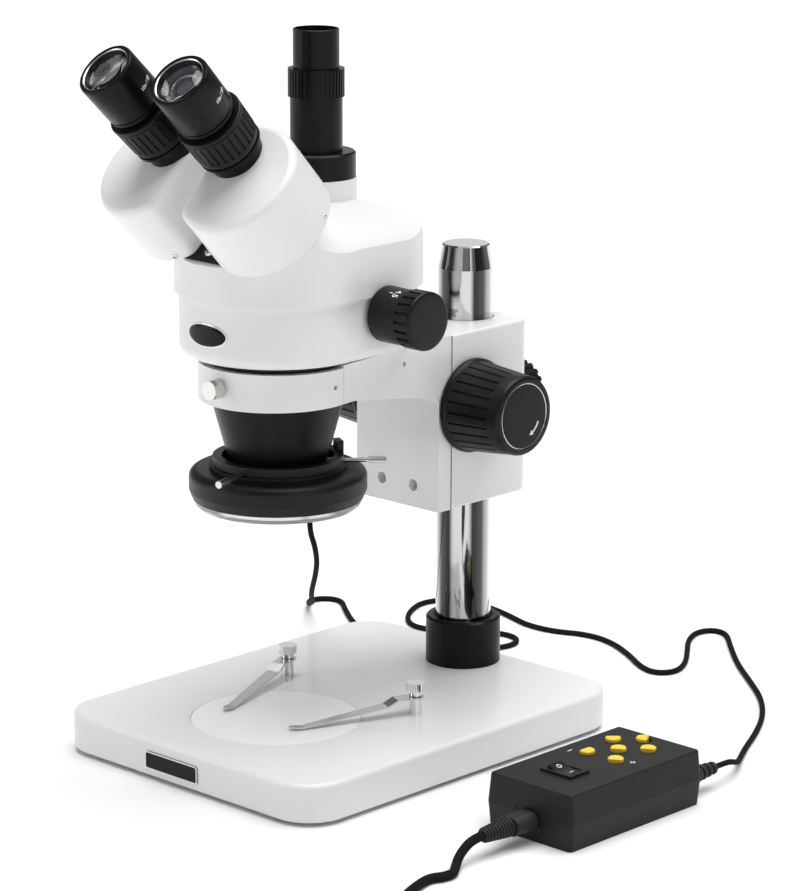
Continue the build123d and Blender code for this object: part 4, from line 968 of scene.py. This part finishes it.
def ribs(name, origin, direction, start_r, end_r, first, last, count, width, proud, body):
    """Row of rounded rings on a tapering strain relief."""
    verts, faces = [], []
    for k in range(count):
        share = k / (count - 1)
        along = first + (last - first) * share
        r = start_r + (end_r - start_r) * share
        foot, shoulder, crown = r - 0.3 * MM, r + proud * 0.8, r + proud
        profile = [(foot, -width / 2), (shoulder, -width / 2), (crown, -width * 0.2), (crown, width * 0.2),
                   (shoulder, width / 2), (foot, width / 2)]
        more_verts, more_faces, rows = lathe_parts([(a, along + b) for a, b in profile], origin, direction,
                                                   steps=36)
        join_ends(more_faces, rows)
        add_form(verts, faces, more_verts, more_faces)
    new_piece(name, verts, faces, RUBBER, body)


controller_details()
for case_name in ("controller_top", "controller_bottom"):
    soften(frame["nodes"][case_name], 1.1 * MM)
for box_name in ("focus_block", "carriage_arm"):
    soften(frame["nodes"][box_name], 0.5 * MM)


def paint_seam_shade():
    """Painted shade: dark strips stand in for the shade in the gap between the two housings, and between the
    slide and its block.
    """
    housing = frame["nodes"]["head_lower_housing"]
    level = max((housing.matrix_world @ v.co).z for v in housing.data.vertices)
    rim = [housing.matrix_world @ v.co for v in housing.data.vertices]
    rim = [p for p in rim if abs(p.z - level) < 0.1 * MM]
    middle_x = sum(p.x for p in rim) / len(rim)
    middle_y = (min(p.y for p in rim) + max(p.y for p in rim)) / 2
    best = {}
    for p in rim:
        key = round(math.atan2(p.y - middle_y, p.x - middle_x) / math.radians(4))
        reach = math.hypot(p.x - middle_x, p.y - middle_y)
        if key not in best or reach > best[key][0]:
            best[key] = (reach, p)
    outline = [(best[key][1].x, best[key][1].y) for key in sorted(best)]
    outer = [(middle_x + (x - middle_x) * 1.0012, middle_y + (y - middle_y) * 1.0012) for x, y in outline]
    inner = [(middle_x + (x - middle_x) * 0.99, middle_y + (y - middle_y) * 0.99) for x, y in outline]
    frame_strip("housing_seam_painted_shade", outer, inner, UP * (level - 0.45 * MM), ACROSS, AWAY, 0.4 * MM, PAINTED_SHADE, "head")
    # Painted shade: thin dark strips on both sides of the block for the gap beside the slide.
    half_gap, gap_height = 0.35 * MM, 99.6 * MM
    outline = [(-half_gap, 0), (half_gap, 0), (half_gap, gap_height), (-half_gap, gap_height)]
    for side, suffix in ((1, "right"), (-1, "left")):
        slab("slide_gap_painted_shade_" + suffix, outline, Vector((side * 31.82, 55.3, 128.2)) * MM, AWAY * side, UP,
             0.04 * MM, PAINTED_SHADE, "block")


paint_seam_shade()
ribs("mains_boot_ribs", Vector((187.5, -68.15, 12)) * MM, -AWAY, start_r=4.8 * MM, end_r=3.4 * MM,
     first=1.5 * MM, last=18.0 * MM, count=9, width=1.15 * MM, proud=0.75 * MM, body="stand")
ribs("cable_boot_ribs", Vector((204.0, 57.95, 11)) * MM, AWAY, start_r=4.1 * MM, end_r=2.5 * MM,
     first=2.0 * MM, last=20.5 * MM, count=5, width=2.4 * MM, proud=1.1 * MM, body="stand")


# ---------------------------------------------------------------- studio
def area_light(name, place, aim, size, power):
    """Soft square light."""
    data = bpy.data.lights.new(name, "AREA")
    data.size = size
    data.energy = power
    lamp = bpy.data.objects.new(name, data)
    bpy.context.scene.collection.objects.link(lamp)
    lamp.location = place
    lamp.rotation_mode = "QUATERNION"
    lamp.rotation_quaternion = (Vector(aim) - Vector(place)).to_track_quat("-Z", "Y")


def sun_light(name, direction, power, spread):
    """Even light from one side of the sky."""
    data = bpy.data.lights.new(name, "SUN")
    data.energy = power
    data.angle = math.radians(spread)
    lamp = bpy.data.objects.new(name, data)
    bpy.context.scene.collection.objects.link(lamp)
    lamp.rotation_mode = "QUATERNION"
    lamp.rotation_quaternion = Vector(direction).to_track_quat("-Z", "Y")


def studio():
    """Pale floor, faint white surroundings, an even light from above and three soft lights at the sides."""
    half = 40.0
    corners = [(-half, -half, 0), (half, -half, 0), (half, half, 0), (-half, half, 0)]
    paper = finish_of("floor_white", (0.90, 0.90, 0.90), 0.6, mottled=3, mottle=0.004, grain=60, bump=0.0,
                      specular=0.1)
    floor = new_piece("floor", corners, [(0, 1, 2, 3)], paper, None, smooth=False)
    world = bpy.data.worlds.new("studio")
    world.use_nodes = True
    backdrop = world.node_tree.nodes["Background"]
    backdrop.inputs["Color"].default_value = (1, 1, 1, 1)
    backdrop.inputs["Strength"].default_value = 0.22
    bpy.context.scene.world = world
    sun_light("overhead", (-0.06, -0.12, -1.0), 3.3, 60)
    area_light("key", (-1.3, -1.6, 0.7), (0, 0, 0.15), 0.9, 6.5)
    area_light("fill", (1.9, -0.5, 0.9), (0, 0, 0.2), 0.8, 4)
    area_light("back", (-2.2, 2.6, 1.5), (0, 0, 0.1), 1.6, 4)
    bpy.context.scene.view_settings.view_transform = "Standard"


studio()
